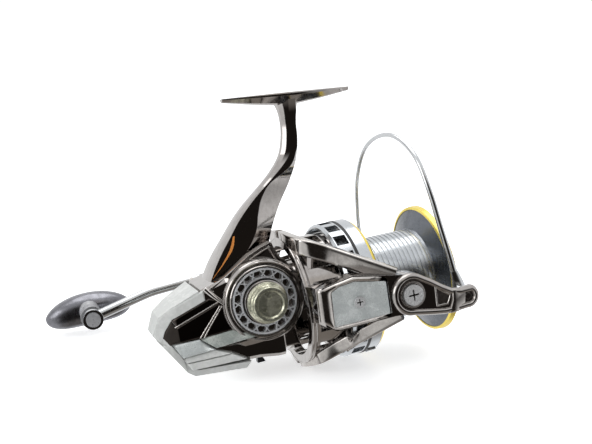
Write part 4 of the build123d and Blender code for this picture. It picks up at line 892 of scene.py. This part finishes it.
pivot, roller, bail_face = (77.2, 0.0), (112.5, -9.0), 55.0
bail_outline = [*arc(pivot, 12.3, 62, 268, 40), (86.0, -14.2), (96.0, -16.0), (104.0, -16.3),
                *arc(roller, 7.0, -100, 62, 24), (108.0, -3.0), (102.5, -1.8), (97.0, 1.6), (90.0, 6.6)]
bail_profile = [(0.0, 0.3), (0.0, 1.6), (0.3, 2.3), (0.9, 2.9), (1.6, 3.3), (2.3, 3.4), (2.9, 3.2),
                (3.3, 2.7), (3.5, 1.9)]
bail = surface("bail_lever", plate(bail_outline, bail_profile, lambda x: bail_face), "bail",
               gunmetal, sharp=45.0)
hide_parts("bail_arm")
tip_outline = [(98.5, -16.1), (104.0, -16.2), *arc(roller, 6.9, -100, 62, 24), (108.0, -3.1), (102.0, -2.2),
               (101.6, -8.6)]
tip_profile = [(0.0, -1.6), (0.0, 0.3), (0.35, 0.8), (1.1, 1.1), (2.0, 1.2)]
tip = surface("bail_lever_tip", plate(tip_outline, tip_profile,
                                      lambda x: bail_face + 2.4 - 0.30 * np.clip(x - 104.5, 0, 9)),
              "bail", arm_chrome, ends=(False, True), sharp=40.0)
step_outline = rounded([(91.5, 2.4), (97.4, -2.4), (101.6, -5.4), (99.0, -10.8), (91.0, -10.6)], 1.0)
step_profile = [(0.0, 1.4), (0.0, 2.3), (0.3, 2.6), (0.8, 2.6), (1.0, 2.3)]
step = surface("bail_lever_step", plate(step_outline, step_profile, lambda x: bail_face), "bail",
               bright_edge, ends=(False, True), sharp=40.0)
boss_profile = [(-57.0, 6.3), (-58.2, 6.4), (-58.6, 6.9), (-58.5, 7.5), (-57.8, 7.9), (-56.6, 8.0)]
boss = surface("bail_boss_ring", turned(boss_profile, "y", pivot), "bail", gunmetal,
               ends=(False, False))
pin_profile = [(-46.4, 2.0), (-57.0, 2.0)]
pin = surface("roller_pin", turned(pin_profile, "y", roller, 32), "bail", gunmetal)
print("bail lever:", measure(bail, tip, step, boss, pin))

# %% [markdown]
# ## Screw crosses of painted shade
# The pivot screws and the cover screws have cross recesses, already cut in the imported model. At a small
# size a recess in pale steel fades away, so its floor gets a thin black plate shaped like a plus: painted
# shade, standing in for the shadow that falls in the recess.


# %% Screw crosses of painted shade
def painted_shade_plates(name, centre, floor, half_long, half_wide):
    """Plus-shaped black plates of painted shade on both sides, from 0.02 to 0.12 mm above a floor at side x
    floor in y.
    """
    a, b = half_long, half_wide
    quarter = np.array([(a, b), (b, b), (b, a)])
    plus = np.concatenate([quarter, quarter[::-1] * (-1, 1), -quarter, quarter[::-1] * (1, -1)]) + centre
    return [surface(f"{name}_{tag}",
                    [np.insert(plus, 1, side * (floor + rise), axis=1) for rise in (0.02, 0.12)],
                    "rotor", black_mirror, sharp=60.0) for side, tag in SIDES]


# black plates of painted shade on the floors of the screws' cross recesses
made = painted_shade_plates("pivot_screw_painted_shade", pivot, 58.6, 3.15, 0.52)
made += painted_shade_plates("cover_screw_painted_shade", (45.6, 2.6), 55.35, 1.85, 0.37)
print("screw crosses:", measure(*made))

# %% [markdown]
# ## Bail wire
# The wire leans into one smooth arch from the lever to the far holder, and it thickens towards the line
# roller to guide the line there. It is a round section carried along a smooth line through a few points
# of the arch.

# %% Bail wire
wire_points = [(110.6, -46.6, 5.2), (108.4, -47.2, 18), (105.6, -47.4, 34), (103.0, -46.4, 53),
               (101.6, -37, 75), (100.8, -18, 86.8), (100.2, 6, 88.4), (98.8, 30, 79.5), (97.0, 44, 61),
               (95.6, 49.5, 38), (94.5, 50.4, 11)]
wire_line = line_through(wire_points, 150)
wire_radius = np.interp(np.linspace(0, 1, 150), [0, 0.05, 0.30, 0.6, 1], [2.1, 1.9, 1.55, 1.35, 1.3])
wire = surface("wire", carried(wire_line, circle(20), wire_radius, wire_radius, (1.0, 0.0, 0.0)), "bail",
               steel, sharp=60.0)
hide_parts("bail_wire")

root_points = [(112.9, -46.8, -9.5), (112.5, -46.8, -4), (111.6, -46.8, 1.5), (110.4, -46.7, 6.5)]
root_line = line_through(root_points, 30)
root_radius = np.interp(np.linspace(0, 1, 30), [0, 0.25, 0.6, 1], [4.1, 4.3, 3.2, 2.1])
root = surface("wire_root", carried(root_line, circle(24), root_radius, 0.42 * root_radius), "bail",
               steel, sharp=50.0)
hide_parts("wire_cone")
disc_profile = [(-48.0, 2.1), (-48.0, 4.2), (-47.6, 4.5), (-45.4, 4.5), (-45.0, 4.1), (-45.0, 0.01)]
disc = surface("wire_root_disc", turned(disc_profile, "y", roller, 48), "bail", steel,
               ends=(False, True))
print("bail wire:", measure(wire, root, disc))

# %% [markdown]
# ## Handle knob
# The knob is a bowed T-bar: each section across its length is a squared oval whose top follows a high
# arch and whose underside stays nearly straight. Sections crowd together at the ends, where the knob
# closes quickly.

# %% Handle knob
knob_x, knob_y, knob_z, knob_half = -91.6, 102.0, 2.7, 28.9
s = np.sin(np.linspace(-np.pi / 2, np.pi / 2, 64))
top = 10.9 * (1 - np.abs(s) ** 2.1) ** 0.62 + 0.4
bottom = -10.2 * (1 - np.abs(s) ** 3.2) ** 0.5 - 0.3
deep = 10.6 * (1 - np.abs(s) ** 2.4) ** 0.5 + 0.3
bow = -1.44 * s * s
oval_y, oval_z = squared(48, 0.8, 0.9)
middle_z = knob_z + bow + (top + bottom) / 2
knob_rings = np.stack([knob_x + knob_half * np.repeat(s[:, None], 48, axis=1),
                       knob_y + deep[:, None] * oval_y,
                       middle_z[:, None] + (top - bottom)[:, None] / 2 * oval_z], axis=-1)
grip = surface("grip", knob_rings, "handle_knob", knob_pearl, sharp=50.0)
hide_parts("knob_grip")
print("handle knob:", measure(grip))

# %% [markdown]
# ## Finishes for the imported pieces
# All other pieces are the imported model's own. Their material slot says what they are made of, so one
# table turns slots into finishes, and a second one names the few pieces that look different from their
# slot.

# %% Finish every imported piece
finish_of_slot = {
    "gunmetal": gunmetal, "satin_alloy": mottled, "silver_alloy": silver, "bright_steel": steel,
    "tool_steel": ground_steel, "grey_anodised": dark_grey, "gold_anodised": gold, "brass": brass,
    "zinc_alloy": zinc, "black_rubber": rubber, "black_plastic": black_gloss, "carbon_felt": carbon,
}
own_finish = {
    "tail_guard": white_satin, "knob_neck": pale_grey, "knob_spindle": pale_grey,
    "filigree_ring": filigree_silver, "arm_cover_screws": screw_steel, "pivot_screws": screw_steel,
    "screw_cap": cap_tint,
}
slot_of_node = {part["node"]: part["material_slot"] for part in frame["record"]["subparts"]}
for name, node in frame["nodes"].items():
    node.data.materials.clear()
    node.data.materials.append(own_finish.get(name, finish_of_slot[slot_of_node[name]]))
print(len(frame["nodes"]), "packed pieces have a finish")
